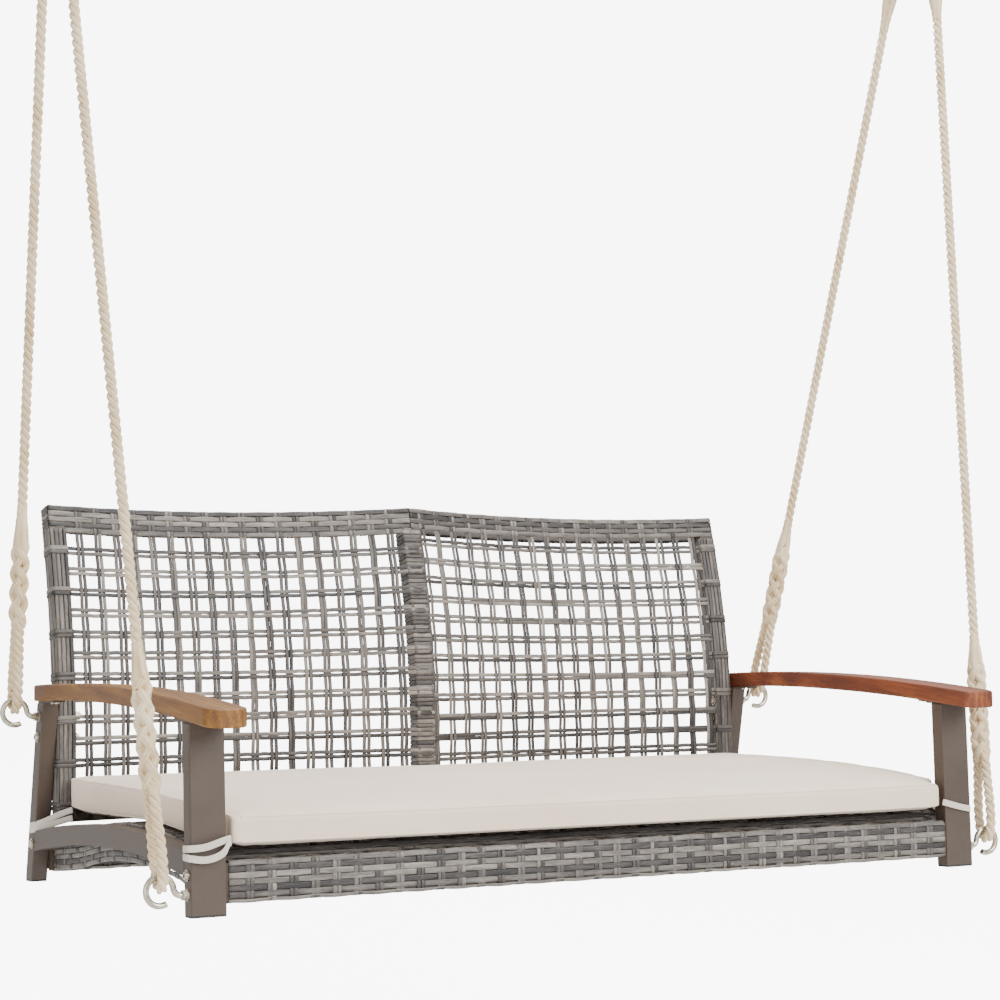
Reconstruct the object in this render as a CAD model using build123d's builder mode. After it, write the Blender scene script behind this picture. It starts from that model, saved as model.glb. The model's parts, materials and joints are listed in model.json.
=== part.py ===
from build123d import *
import os
from math import atan2, degrees, hypot, sqrt

os.makedirs("parts", exist_ok=True)

# ---------------------------------------------------------------------------
# Driving dimensions, in millimetres. The seat is drawn upright in its own
# axes: X across the seat, -Y to the front, +Z up, z = 0 at the leg ends, and
# y = 0 half way between the front and the rear legs. It is hung at the end.
# ---------------------------------------------------------------------------
width = 1300.0  # over the outer faces of the legs
half = width / 2
wall = 1.5  # of every steel tube
tube_round = 2.0  # outer corners of the leg tubes
past = 20.0  # how far a cutting shape runs past what it cuts
skin = 3.0  # thickness of the wicker wrapped round a tube
cap_thick, cap_high = 3.0, 15.0  # plastic caps on the leg ends, and their height with the plug
cap_slack, plug_slack = 0.4, 4.0  # how much smaller than the tube a cap is, and its plug than the bore

front_leg_wide, front_leg_deep = 50.0, 25.0
front_leg_face, front_leg_lean = -352.0, 0.021  # y of its front face at z = 0, and dy/dz
rear_leg_wide, rear_leg_deep = 25.0, 30.0
rear_leg_face, rear_leg_lean = 317.0, -0.212

arm_radius, arm_crest_y, arm_crest_z = 4860.0, 150.0, 305.0  # the arch of the armrest's top
arm_thick, arm_front, arm_rear = 25.0, -420.0, 297.0
arm_outer, arm_inner, arm_inner_rear = half + 2, half - 58, half - 22
arm_neck_front, arm_neck_rear, arm_corner = -60.0, 240.0, 20.0
arm_round, arm_neck_radius = 3.0, 600.0
plate_thick, screw_radius, screw_deep, screw_fit = 3.0, 2.0, 16.0, 0.05
screw_head, screw_hole = 2.2, 2.3
front_leg_top, rear_leg_top = -335.0, 272.0  # y at which the legs' sloping tops are set
front_plate, rear_plate = (-348.0, -288.0), (218.0, 289.0)  # where the plates start and end in y
front_plate_wide, rear_plate_wide, plate_edge = 46.0, 20.0, 2.0  # widths, and how far in from the legs
contact_gap = 0.05  # between a flat face and the curved face that it meets

rail_radius, rail_crest_y, rail_crest_z, rail_high, rail_wide = 2400.0, -40.0, 103.0, 30.0, 25.0

seat_low, seat_band = 16.0, 56.0  # lower edge and height of the woven seat edge
seat_half = half - 28  # outer face of the woven sides
seat_front, seat_rear, side_start = -352.0, 322.0, -325.2
front_bar_deep, rear_bar_deep = 39.0, 26.0
bar_thick, support_wide = 22.0, 20.0  # height of the side and support bars, width of the supports
insert_long = 40.0  # of the threaded blocks in the ends of the front and rear bars
side_low = [(-326, 17), (-250, 37), (-150, 48), (-40, 51), (60, 45), (180, 28), (322, 16)]

back_half = half - 25  # outer face of the woven back
back_foot, back_bend, back_top = (280.0, 92.0), (280.0, 350.7), (335.6, 582.3)  # (y, z) of its middle
back_radius = 1184.0
back_deep, stile_wide, top_rail_high, low_rail_high = 26.0, 25.0, 32.0, 20.0
hollow_at, hollow_by, ridge_by = 340.0, 22.0, -22.0  # each half is hollow, the middle stands forward
panel_thick, middle_half = 4.0, 15.0

wire = 4.25  # radius of the hook rod, an 8.5 mm rod
crest, eye_up, eye_radius = 38.5, 7.0, 19.0  # the hook's eye: centre out from the leg, up, radius
bend_start = 9.0
hook_tip = 291.0  # degrees of the eye's arc
hook_reach_front, hook_reach_rear = 76.0, 66.0  # how far the rods go in from the legs' outer faces
front_hook_z, rear_hook_z = 29.7, 254.7
front_bolt_z, back_bolt_z, rear_bolt_z = 54.6, 222.8, 59.0
nut_flats, nut_high, washer_radius, washer_thick = 13.0, 6.5, 8.0, 1.6
nut_room = 9.0  # radius kept clear of wicker round a nut
bolt_radius, bolt_hole, head_radius, head_high = 3.0, 3.3, 6.0, 4.0
bolt_nut_flats, bolt_nut_high, thread_fit = 10.0, 5.0, 0.05

rope_radius = 8.0
eye_width, eye_wide_at, throat_at = 21.0, 62.0, 128.0  # of a spliced rope eye
splice_top, taper_top, splice_wide, splice_deep = 245.0, 300.0, 17.0, 12.5
rope_gap, hook_gap = 0.3, 0.15  # between a rope eye and the ring bar or the hook that it holds
eye_side_radius = 60.0

axis_x, axis_y, axis_z = 773.0, -149.0, 1700.0  # the swing axis: the middle of each ring's bar
ring_wire, ring_bar, ring_corner, ring_side, ring_bow = 5.0, 17.0, 10.0, 16.0, 27.0
rope_pitch = 9.0  # the two ropes on a ring lie this far each side of its middle
hang_lean = -6.686  # degrees about X at which the seat hangs level below its axis

cushion_half, cushion_neck = 618.0, 597.5
cushion_front, cushion_rear, neck_y = -362.0, 261.0, -318.0
notch_y, notch_half, notch_spread = 239.0, 22.0, 110.0  # where it goes round the back's ridge
cushion_low = [(-362, 86), (-238, 98.5), (-120, 107.5), (30, 109), (261, 109)]
cushion_high = [(-362, 129), (-200, 150), (0, 160), (261, 162)]
cover, cushion_corner = 1.5, 14.0
tape_wide, tape_thick, tape_gap = 10.0, 1.2, 0.6

hang = Location((0, 0, 0), (hang_lean, 0, 0)) * Location((0, -axis_y, -axis_z))


def keep(node, pieces, place=hang):
    """Hangs the solids of a finished piece, labels them and writes their STEP file."""
    solids = [piece.part.moved(place) for piece in pieces]
    group = Compound(children=solids) if len(solids) > 1 else solids[0]
    group.label = node
    export_step(group, f"parts/{node}.step")


def arc_y(radius, centre_y, centre_z, y):
    """Height at y of a circle about (centre_y, centre_z), on its upper side."""
    return centre_z + sqrt(radius**2 - (y - centre_y) ** 2)


def arm_z(y, below=0.0):
    """Height of the armrest's top at y, or of a layer so far below it."""
    return arc_y(arm_radius - below, arm_crest_y, arm_crest_z - arm_radius, y)


def span(inner, outer, side):
    """The low and high x of a piece between two distances from the middle, on one side."""
    return (inner, outer) if side > 0 else (-outer, -inner)


def arch_band(radius, centre_y, crest_z, y0, y1, thick):
    """A band under an arch, in the YZ plane: the face between two arcs about one centre."""
    mid = (y0 + y1) / 2
    centre_z = crest_z - radius
    upper = [(y, arc_y(radius, centre_y, centre_z, y)) for y in (y0, mid, y1)]
    lower = [(y, arc_y(radius - thick, centre_y, centre_z, y)) for y in (y0, mid, y1)]
    ThreePointArc(*upper)
    Line(upper[2], lower[2])
    ThreePointArc(*lower)
    Line(lower[0], upper[0])


def curve_band(lower, upper):
    """The face between two smooth curves that share their end places, in the YZ plane."""
    Spline(*lower)
    Line(lower[-1], upper[-1])
    Spline(*upper)
    Line(upper[0], lower[0])


def lifted(points, by):
    """A curve's points moved up."""
    return [(y, z + by) for y, z in points]


# ---------------------------------------------------------------------------
# Fastener places on the legs: (y, z) of each hole that runs across the seat
# ---------------------------------------------------------------------------
hook_hole = wire + 0.25
def front_place(z):
    """The middle of a front leg at a height, as (y, z)."""
    return front_leg_face + front_leg_lean * z + front_leg_deep / 2, z


def rear_place(z):
    """The middle of a rear leg at a height, as (y, z)."""
    return rear_leg_face + rear_leg_lean * z + rear_leg_deep / 2, z


front_hook, front_bolt = front_place(front_hook_z), front_place(front_bolt_z)
rear_hook, back_bolt = rear_place(rear_hook_z), rear_place(back_bolt_z)
rear_bolt = (seat_rear - skin - rear_bar_deep / 4, rear_bolt_z)


def across(x, place, side=1):
    """A plane at x that faces outwards along X, centred on a (y, z) place."""
    return Plane(origin=(x, place[0], place[1]), x_dir=(0, side, 0), z_dir=(side, 0, 0))


def bore(place, radius, low_x, high_x):
    """Cuts a round hole across the seat between two x values."""
    with BuildSketch(across(low_x, place)) as hole:
        Circle(radius)
    extrude(hole.sketch, amount=high_x - low_x, mode=Mode.SUBTRACT)


# ---------------------------------------------------------------------------
# Legs, their caps, and the plates welded on top of them
# ---------------------------------------------------------------------------
def under_arm(x, y, below):
    """A plane square to a layer under the armrest's top, at a place on it."""
    slope = -(y - arm_crest_y) / (arm_z(y, below) - arm_crest_z + arm_radius)
    return Plane(origin=(x, y, arm_z(y, below)), x_dir=(1, 0, 0), z_dir=(0, -slope, 1))


def leg(side, wide, deep, face, lean, plate_y, holes):
    """A rectangular tube that leans fore or aft, cut level at the foot and under its plate."""
    centre_x = side * (half - wide / 2)
    foot = Plane(origin=(centre_x, face + deep / 2, 0), x_dir=(1, 0, 0), z_dir=(0, lean, 1))
    with BuildPart() as tube:
        with BuildSketch(foot.offset(-past)):
            RectangleRounded(wide, deep, tube_round)
            Rectangle(wide - 2 * wall, deep - 2 * wall, mode=Mode.SUBTRACT)
        extrude(amount=arm_crest_z + past)
        split(bisect_by=Plane.XY.offset(cap_thick), keep=Keep.TOP)
        split(bisect_by=under_arm(0, plate_y, arm_thick + plate_thick + contact_gap), keep=Keep.BOTTOM)
        for place, radius in holes:
            bore(place, radius, centre_x - wide, centre_x + wide)
    return tube


def leg_cap(side, wide, deep, face, lean):
    """A flat plastic cap under a leg, with a plug that goes up into the tube."""
    centre_x = side * (half - wide / 2)
    middle = face + deep / 2
    with BuildPart() as cap:
        with BuildSketch(Plane.XY):
            with Locations((centre_x, middle + lean * cap_thick / 2)):
                RectangleRounded(wide - cap_slack, deep - cap_slack, tube_round)
        extrude(amount=cap_thick)
        with BuildSketch(Plane.XY.offset(cap_thick)):
            with Locations((centre_x, middle + lean * (cap_thick + cap_high) / 2)):
                Rectangle(wide - 2 * wall - plug_slack, deep - 2 * wall - plug_slack)
        extrude(amount=cap_high - cap_thick)
    return cap


def arm_plate(side, plate_wide, y0, y1, screws):
    """A steel strip that follows the armrest's underside, welded on a leg's top."""
    low_x, high_x = span(half - plate_edge - plate_wide, half - plate_edge, side)
    with BuildPart() as plate:
        with BuildSketch(Plane.YZ.offset(low_x)):
            with BuildLine():
                arch_band(
                    arm_radius - arm_thick, arm_crest_y, arm_crest_z - arm_thick, y0, y1, plate_thick
                )
            make_face()
        extrude(amount=high_x - low_x)
        for x, y in screws:
            with BuildSketch(under_arm(side * x, y, arm_thick)):
                Circle(screw_hole)
            extrude(amount=past, both=True, mode=Mode.SUBTRACT)
    return plate


def armrest(screws):
    """The left armrest: an arched wooden slat, narrower at the rear where it passes the back."""
    low_z = arm_z(arm_front, arm_thick) - past
    with BuildPart() as slat:
        with BuildSketch(Plane.XY.offset(low_z)) as outline:
            with BuildLine():
                Polyline(
                    (-arm_inner, arm_neck_front),
                    (-arm_inner, arm_front),
                    (-arm_outer, arm_front),
                    (-arm_outer, arm_rear),
                    (-arm_inner_rear, arm_rear),
                    (-arm_inner_rear, arm_neck_rear),
                    close=True,
                )
            make_face()
            by_x = outline.vertices().group_by(Axis.X)
            necks = [by_x[1].sort_by(Axis.Y)[0], by_x[2].sort_by(Axis.Y)[-1]]
            fillet(necks, arm_neck_radius)
            fillet(outline.vertices().group_by(Axis.Y)[0], arm_corner)
        extrude(amount=arm_crest_z - low_z + past)
        with BuildSketch(Plane.YZ.offset(-width)):
            with BuildLine():
                arch_band(
                    arm_radius, arm_crest_y, arm_crest_z, arm_front - past, arm_rear + past, arm_thick
                )
            make_face()
        extrude(amount=2 * width, mode=Mode.INTERSECT)
        broad_faces = slat.faces().sort_by(SortBy.AREA)[-2:]
        fillet([edge for face in broad_faces for edge in face.edges()], arm_round)
        for x, y in screws:
            with BuildSketch(under_arm(-x, y, arm_thick + 1)):
                Circle(screw_radius + screw_fit)
            extrude(amount=screw_deep + 1, mode=Mode.SUBTRACT)
    return slat


def arm_screw(side, x, y):
    """A pan-head wood screw that goes up through a plate into the armrest."""
    seat = under_arm(side * x, y, arm_thick + plate_thick + contact_gap)
    with BuildPart() as screw:
        with BuildSketch(seat):
            Circle(screw_radius)
        extrude(amount=plate_thick + screw_deep - 1)
        with BuildSketch(seat):
            Circle(2 * screw_radius)
        extrude(amount=-screw_head)
    return screw


front_screws = [(half - 38, -302), (half - 12, -302)]  # (distance from the middle, y)
rear_screws = [(half - 12, 228), (half - 12, 248)]
front_size = (front_leg_wide, front_leg_deep, front_leg_face, front_leg_lean)
rear_size = (rear_leg_wide, rear_leg_deep, rear_leg_face, rear_leg_lean)
front_holes = [(front_hook, hook_hole), (front_bolt, bolt_hole)]
rear_holes = [(rear_hook, hook_hole), (back_bolt, bolt_hole), (rear_bolt, bolt_hole)]
sides = (("left", -1), ("right", 1))
for side_name, side in sides:
    keep(f"front_leg_{side_name}", [leg(side, *front_size, front_leg_top, front_holes)])
    keep(f"rear_leg_{side_name}", [leg(side, *rear_size, rear_leg_top, rear_holes)])
left_armrest = armrest(front_screws + rear_screws)
with BuildPart() as right_armrest:
    mirror(left_armrest.part, about=Plane.YZ)
keep("armrest_left", [left_armrest])
keep("armrest_right", [right_armrest])
keep("leg_caps", [leg_cap(side, *size) for name, side in sides for size in (front_size, rear_size)])
keep(
    "arm_plates_front",
    [arm_plate(side, front_plate_wide, *front_plate, front_screws) for name, side in sides],
)
keep(
    "arm_plates_rear",
    [arm_plate(side, rear_plate_wide, *rear_plate, rear_screws) for name, side in sides],
)
keep("arm_screws", [arm_screw(side, x, y) for name, side in sides for x, y in front_screws + rear_screws])

# ---------------------------------------------------------------------------
# Side rails: arched tubes between the legs, flush with their outer faces
# ---------------------------------------------------------------------------
leg_back = Plane(
    origin=(0, *front_place(0)), x_dir=(1, 0, 0), z_dir=(0, 1, -front_leg_lean)
).offset(front_leg_deep / 2)
leg_front = Plane(
    origin=(0, *rear_place(0)), x_dir=(1, 0, 0), z_dir=(0, 1, -rear_leg_lean)
).offset(-rear_leg_deep / 2)
for side_name, side in sides:
    low_x, high_x = span(half - rail_wide, half, side)
    with BuildPart() as side_rail:
        for inset, mode in ((0, Mode.ADD), (wall, Mode.SUBTRACT)):
            with BuildSketch(Plane.YZ.offset(low_x + inset)):
                with BuildLine():
                    arch_band(
                        rail_radius - inset,
                        rail_crest_y,
                        rail_crest_z - inset,
                        seat_front - 5 * inset,
                        seat_rear + 5 * inset,
                        rail_high - 2 * inset,
                    )
                make_face()
            extrude(amount=rail_wide - 2 * inset, mode=mode)
        split(bisect_by=leg_back, keep=Keep.TOP)
        split(bisect_by=leg_front, keep=Keep.BOTTOM)
    keep(f"side_rail_{side_name}", [side_rail])

# ---------------------------------------------------------------------------
# Seat frame: front and rear tubes, contoured side tubes and supports
# ---------------------------------------------------------------------------
bar_low, bar_high = seat_low + skin, seat_low + seat_band - skin
front_inner, rear_inner = seat_front + front_bar_deep + 2 * skin, seat_rear - rear_bar_deep - 2 * skin


def box_tube(length, y0, y1, z0, z1, thick):
    """A rectangular tube along X, centred on the seat."""
    with BuildPart() as tube:
        with BuildSketch(Plane.YZ.offset(-length / 2)):
            with Locations(((y0 + y1) / 2, (z0 + z1) / 2)):
                Rectangle(y1 - y0, z1 - z0)
                Rectangle(y1 - y0 - 2 * thick, z1 - z0 - 2 * thick, mode=Mode.SUBTRACT)
        extrude(amount=length)
    return tube


def contour_strip(low_x, high_x, bottom, top, y0, y1, thick=0.0):
    """A strip under the seat's contour: its bottom and top are heights above the skirt's edge.

    With a wall thickness it is a tube, open at its ends; without one it is solid.
    """
    with BuildPart() as strip:
        with BuildSketch(Plane.YZ.offset(low_x)):
            with BuildLine():
                curve_band(lifted(side_low, bottom), lifted(side_low, top))
            make_face()
        extrude(amount=high_x - low_x)
        if thick:
            with BuildSketch(Plane.YZ.offset(low_x + thick)):
                with BuildLine():
                    curve_band(lifted(side_low, bottom + thick), lifted(side_low, top - thick))
                make_face()
            extrude(amount=high_x - low_x - 2 * thick, mode=Mode.SUBTRACT)
        split(bisect_by=Plane.XZ.offset(-y0), keep=Keep.BOTTOM)
        split(bisect_by=Plane.XZ.offset(-y1), keep=Keep.TOP)
    return strip


front_bar = box_tube(
    2 * (half - front_leg_wide), seat_front + skin, front_inner - skin, bar_low, bar_high, wall
)
front_apron = box_tube(
    2 * (half - front_leg_wide - skin),
    seat_front,
    front_inner,
    seat_low,
    seat_low + seat_band,
    skin,
)
rear_bar = box_tube(
    2 * (half - rear_leg_wide), rear_inner + skin, seat_rear - skin, bar_low, bar_high, wall
)
rear_apron = box_tube(2 * seat_half, rear_inner, seat_rear, seat_low, seat_low + seat_band, skin)
keep("seat_front_bar", [front_bar])
keep("front_apron_weave", [front_apron])
keep("seat_rear_bar", [rear_bar])
keep("rear_apron_weave", [rear_apron])

strip_top, strip_low = seat_band - skin, seat_band - skin - bar_thick
for side_name, side in sides:
    low_x, high_x = span(half - front_leg_wide, seat_half - skin, side)
    side_bar = contour_strip(low_x, high_x, strip_low, strip_top, side_start, rear_inner, wall)
    keep(f"seat_side_bar_{side_name}", [side_bar])
    low_x, high_x = span(seat_half - skin, seat_half, side)
    side_apron = contour_strip(low_x, high_x, 0, seat_band, side_start, rear_inner)
    keep(f"side_apron_weave_{side_name}", [side_apron])
half_support = support_wide / 2
supports = [
    contour_strip(
        x - half_support, x + half_support, strip_low, strip_top, front_inner, rear_inner, wall
    )
    for x in (-seat_half / 2, 0, seat_half / 2)
]
keep("seat_support_bars", supports)
seat_deck = contour_strip(
    -seat_half + skin, seat_half - skin, strip_top, seat_band, front_inner, rear_inner
)
keep("seat_deck_weave", [seat_deck])

# ---------------------------------------------------------------------------
# Back frame: drawn as plan sections, swept up the back's bent middle line
# ---------------------------------------------------------------------------
foot_y, foot_z = back_foot
lean_y, lean_z = back_top[0] - back_bend[0], back_top[1] - back_bend[1]
lean_long = hypot(lean_y, lean_z)
top_plane = Plane(
    origin=(0, *back_top), x_dir=(1, 0, 0), z_dir=(0, lean_y / lean_long, lean_z / lean_long)
)


def back_line(from_z, short):
    """The back's middle line from a height up to a distance below its top."""
    end = (back_top[0] - short * lean_y / lean_long, back_top[1] - short * lean_z / lean_long)
    with BuildLine(Plane.YZ) as line:
        FilletPolyline((foot_y, from_z), back_bend, end, radius=back_radius)
    return line.line


def plan_region(x0, x1, y0, y1):
    """Adds the face between two copies of the back's plan curve, in one half, to a sketch."""
    centre_side = 1 if x0 + x1 > 0 else -1
    start, end = sorted((abs(x0), abs(x1)))
    places = [(x, hollow(x)) for x in (start, (start + end) / 2, end)]
    near = [(centre_side * x, u + y0) for x, u in places]
    far = [(centre_side * x, u + y1) for x, u in places]
    with BuildLine() as outline:
        ThreePointArc(*near)
        Line(near[2], far[2])
        ThreePointArc(*far)
        Line(far[0], near[0])
    make_face(outline.edges())


def hollow(x):
    """How far back the plan curve of either half lies, at a distance from the middle."""
    return hollow_centre_y + sqrt(hollow_radius**2 - (x - hollow_centre_x) ** 2)


def plan_arc_centre():
    """Centre and radius of the circle through a half's edge, its hollow and the ridge."""
    (ax, ay), (bx, by), (cx, cy) = (back_half, 0.0), (hollow_at, hollow_by), (0.0, ridge_by)
    d = 2 * (ax * (by - cy) + bx * (cy - ay) + cx * (ay - by))
    ux = (ax**2 + ay**2) * (by - cy) + (bx**2 + by**2) * (cy - ay) + (cx**2 + cy**2) * (ay - by)
    uy = (ax**2 + ay**2) * (cx - bx) + (bx**2 + by**2) * (ax - cx) + (cx**2 + cy**2) * (bx - ax)
    return ux / d, uy / d, hypot(ax - ux / d, ay - uy / d)


hollow_centre_x, hollow_centre_y, hollow_radius = plan_arc_centre()
deep = back_deep / 2
foot_plane = Plane(origin=(0, foot_y, foot_z))


def cross_rail(plane, reach, high):
    """A tube along the back's plan curve, open at its ends, extruded from a plane."""
    with BuildPart() as rail:
        with BuildSketch(plane):
            plan_region(0, reach, -deep, deep)
            plan_region(-reach, 0, -deep, deep)
        extrude(amount=high)
        with BuildSketch(plane.offset(wall if high > 0 else -wall)):
            plan_region(0, reach + 1, -deep + wall, deep - wall)
            plan_region(-reach - 1, 0, -deep + wall, deep - wall)
        extrude(amount=high - 2 * wall if high > 0 else high + 2 * wall, mode=Mode.SUBTRACT)
    return rail


def top_wrap():
    """The wicker skin over the top rail: an upturned channel with closed ends."""
    with BuildPart() as wrap:
        with BuildSketch(top_plane):
            plan_region(0, back_half, -deep - skin, deep + skin)
            plan_region(-back_half, 0, -deep - skin, deep + skin)
        extrude(amount=-top_rail_high - skin)
        with BuildSketch(top_plane.offset(-skin)):
            plan_region(0, stile_outer, -deep, deep)
            plan_region(-stile_outer, 0, -deep, deep)
        extrude(amount=-top_rail_high, mode=Mode.SUBTRACT)
    return wrap


def post(x0, x1, y0, y1, hollow_wall, from_z, short, holes=()):
    """An upright of the back: a rectangular tube swept up the back's line."""
    with BuildPart() as upright:
        with BuildSketch(Plane(origin=(0, foot_y, from_z))):
            with Locations(((x0 + x1) / 2, (y0 + y1) / 2)):
                Rectangle(x1 - x0, y1 - y0)
                Rectangle(x1 - x0 - 2 * hollow_wall, y1 - y0 - 2 * hollow_wall, mode=Mode.SUBTRACT)
        sweep(path=back_line(from_z, short))
        for place, radius in holes:
            bore(place, radius, x0 - 5, x1 + 5)
    return upright


stile_outer = back_half - skin
stile_inner = stile_outer - stile_wide
post_low, post_short = foot_z + low_rail_high, top_rail_high + skin
back_holes = [(rear_hook, hook_hole), (back_bolt, bolt_hole)]
keep("back_top_rail", [cross_rail(top_plane.offset(-skin), stile_outer, -top_rail_high)])
keep("back_low_rail", [cross_rail(foot_plane, stile_inner - skin, low_rail_high)])
keep("back_top_wrap", [top_wrap()])
middle_post = post(-middle_half, middle_half, ridge_by - deep, ridge_by + deep, wall, post_low, post_short)
middle_wrap = post(
    -middle_half - skin,
    middle_half + skin,
    ridge_by - deep - skin,
    ridge_by + deep + skin,
    skin,
    post_low,
    post_short,
)
keep("back_middle_post", [middle_post])
keep("back_middle_wrap", [middle_wrap])
for side_name, side in sides:
    low_x, high_x = span(stile_inner, stile_outer, side)
    stile = post(low_x, high_x, -deep, deep, wall, foot_z, post_short, back_holes)
    keep(f"back_stile_{side_name}", [stile])
    low_x, high_x = span(stile_inner - skin, back_half, side)
    wrap = post(low_x, high_x, -deep - skin, deep + skin, skin, foot_z, post_short, back_holes)
    keep(f"back_stile_wrap_{side_name}", [wrap])
    with BuildPart() as panel:
        with BuildSketch(Plane(origin=(0, foot_y, post_low))):
            plan_region(
                side * (middle_half + skin),
                side * (stile_inner - skin),
                -deep - skin,
                -deep - skin + panel_thick,
            )
        sweep(path=back_line(post_low, post_short))
        for place in (rear_hook, back_bolt):
            bore(place, nut_room, *span(half - hook_reach_rear - 2, stile_inner, side))
    keep(f"back_weave_{side_name}", [panel])

# ---------------------------------------------------------------------------
# Hook bolts, the other bolts, and their washers, nuts and threaded blocks
# ---------------------------------------------------------------------------
bend_radius = ((crest - bend_start) ** 2 + eye_up**2 - eye_radius**2) / (2 * (eye_up + eye_radius))


def hook_bolt(side, place, reach):
    """A rod that goes out through a leg, turns up and curls over into an eye."""
    middle_plane = Plane(origin=(side * half, *place), x_dir=(side, 0, 0), z_dir=(0, -side, 0))
    join = degrees(atan2(eye_up - bend_radius, crest - bend_start))
    with BuildLine(middle_plane) as rod:
        Line((-reach, 0), (bend_start, 0))
        CenterArc((bend_start, bend_radius), bend_radius, -90, 90 + join)
        CenterArc((crest, eye_up), eye_radius, 180 + join, -hook_tip)
    with BuildPart() as hook:
        with BuildSketch(Plane(origin=rod.line @ 0, z_dir=rod.line % 0)):
            Circle(wire)
        sweep(path=rod.line)
    return hook


def ring_piece(side, out, place, outline, hole, thick):
    """A washer (outline "round") or a hexagon nut at a distance out from a leg's outer face."""
    with BuildPart() as piece:
        with BuildSketch(across(side * (half + out), place, side)):
            if outline == "round":
                Circle(washer_radius)
            else:
                RegularPolygon(outline / 2, 6, major_radius=False)
            Circle(hole, mode=Mode.SUBTRACT)
        extrude(amount=thick)
    return piece


def bolt(side, place, reach):
    """A button-head bolt that goes in through a leg."""
    head = across(side * (half + washer_thick), place, side)
    with BuildPart() as piece:
        with BuildSketch(head):
            Circle(head_radius)
        extrude(amount=head_high)
        fillet(piece.edges().sort_by(Axis.X)[-1 if side > 0 else 0], head_high - 1)
        with BuildSketch(head.offset(head_high)):
            RegularPolygon(2, 6, major_radius=False)
        extrude(amount=-head_high / 2, mode=Mode.SUBTRACT)
        with BuildSketch(head):
            Circle(bolt_radius)
        extrude(amount=-reach - washer_thick)
    return piece


def bar_insert(side, outer, y0, y1, z0, z1, holes):
    """A threaded block that fills the end of a bar."""
    with BuildPart() as block:
        with BuildSketch(across(side * outer, ((y0 + y1) / 2, (z0 + z1) / 2), side)):
            Rectangle(y1 - y0, z1 - z0)
        extrude(amount=-insert_long)
        for place, radius in holes:
            bore(place, radius + thread_fit, -width, width)
    return block


inner_face = half - stile_inner + skin  # from a leg's outer face in to the back's inner side
hook_thread, bolt_thread = wire + thread_fit, bolt_radius + thread_fit
for side_name, side in sides:
    keep(f"hook_bolt_front_{side_name}", [hook_bolt(side, front_hook, hook_reach_front)])
    keep(f"hook_bolt_rear_{side_name}", [hook_bolt(side, rear_hook, hook_reach_rear)])
outer_hooks = [(side, place) for name, side in sides for place in (front_hook, rear_hook)]
keep(
    "hook_washers",
    [ring_piece(side, 0, place, "round", hook_thread, washer_thick) for side, place in outer_hooks]
    + [
        ring_piece(side, -inner_face, rear_hook, "round", hook_thread, -washer_thick)
        for name, side in sides
    ],
)
keep(
    "hook_nuts",
    [
        ring_piece(side, washer_thick, place, nut_flats, hook_thread, nut_high)
        for side, place in outer_hooks
    ],
)
keep(
    "hook_lock_nuts",
    [
        ring_piece(side, -inner_face - washer_thick, rear_hook, nut_flats, hook_thread, -nut_high)
        for name, side in sides
    ],
)
keep("back_bolts", [bolt(side, back_bolt, hook_reach_rear) for name, side in sides])
keep(
    "back_bolt_nuts",
    [
        ring_piece(
            side, -inner_face - washer_thick, back_bolt, bolt_nut_flats, bolt_thread, -bolt_nut_high
        )
        for name, side in sides
    ],
)
keep(
    "seat_bolts",
    [
        bolt(side, place, hook_reach_front if place == front_bolt else insert_long + rear_leg_wide)
        for name, side in sides
        for place in (front_bolt, rear_bolt)
    ],
)
keep(
    "bolt_washers",
    [
        ring_piece(side, 0, place, "round", bolt_thread, washer_thick)
        for name, side in sides
        for place in (front_bolt, back_bolt, rear_bolt)
    ]
    + [
        ring_piece(side, -inner_face, back_bolt, "round", bolt_thread, -washer_thick)
        for name, side in sides
    ],
)
inside = wall + 0.1
front_block = (seat_front + skin + inside, front_inner - skin - inside, bar_low + inside, bar_high - inside)
rear_block = (rear_inner + skin + inside, seat_rear - skin - inside, bar_low + inside, bar_high - inside)
keep(
    "front_bar_inserts",
    [
        bar_insert(
            side, half - front_leg_wide, *front_block, [(front_hook, wire), (front_bolt, bolt_radius)]
        )
        for name, side in sides
    ],
)
keep(
    "rear_bar_inserts",
    [
        bar_insert(side, half - rear_leg_wide, *rear_block, [(rear_bolt, bolt_radius)])
        for name, side in sides
    ],
)

# ---------------------------------------------------------------------------
# Cushion: the foam, the cover round it and the tapes that tie it on
# ---------------------------------------------------------------------------
def cushion_form(inset):
    """The cushion's outer form, or the same form so far inside it."""
    back, front, shoulder = cushion_rear - inset, cushion_front + inset, neck_y + inset
    wide, narrow = cushion_half - inset, cushion_neck - inset
    low_line, high_line = lifted(cushion_low, inset), lifted(cushion_high, -inset)
    with BuildPart() as form:
        with BuildSketch(Plane.XY) as outline:
            with BuildLine():
                Polyline(
                    (wide, back),
                    (wide, shoulder),
                    (narrow, shoulder),
                    (narrow, front),
                    (-narrow, front),
                    (-narrow, shoulder),
                    (-wide, shoulder),
                    (-wide, back),
                    (-notch_spread, back),
                    (-notch_half, notch_y - inset),
                    (notch_half, notch_y - inset),
                    (notch_spread, back),
                    close=True,
                )
            make_face()
            fillet(outline.vertices().group_by(Axis.Y)[0], cushion_corner - inset)
        extrude(amount=width)
        with BuildSketch(Plane.YZ.offset(-width)):
            with BuildLine():
                curve_band(low_line, high_line)
            make_face()
        extrude(amount=2 * width, mode=Mode.INTERSECT)
    return form


def leg_tie(side, centre, wide, deep, z):
    """A flat tape that goes once round a leg."""
    with BuildPart() as tape:
        with BuildSketch(Plane.XY.offset(z)):
            with Locations((side * (half - wide / 2), centre)):
                Rectangle(wide + 2 * (tape_gap + tape_thick), deep + 2 * (tape_gap + tape_thick))
                Rectangle(wide + 2 * tape_gap, deep + 2 * tape_gap, mode=Mode.SUBTRACT)
        extrude(amount=tape_wide)
    return tape


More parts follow.
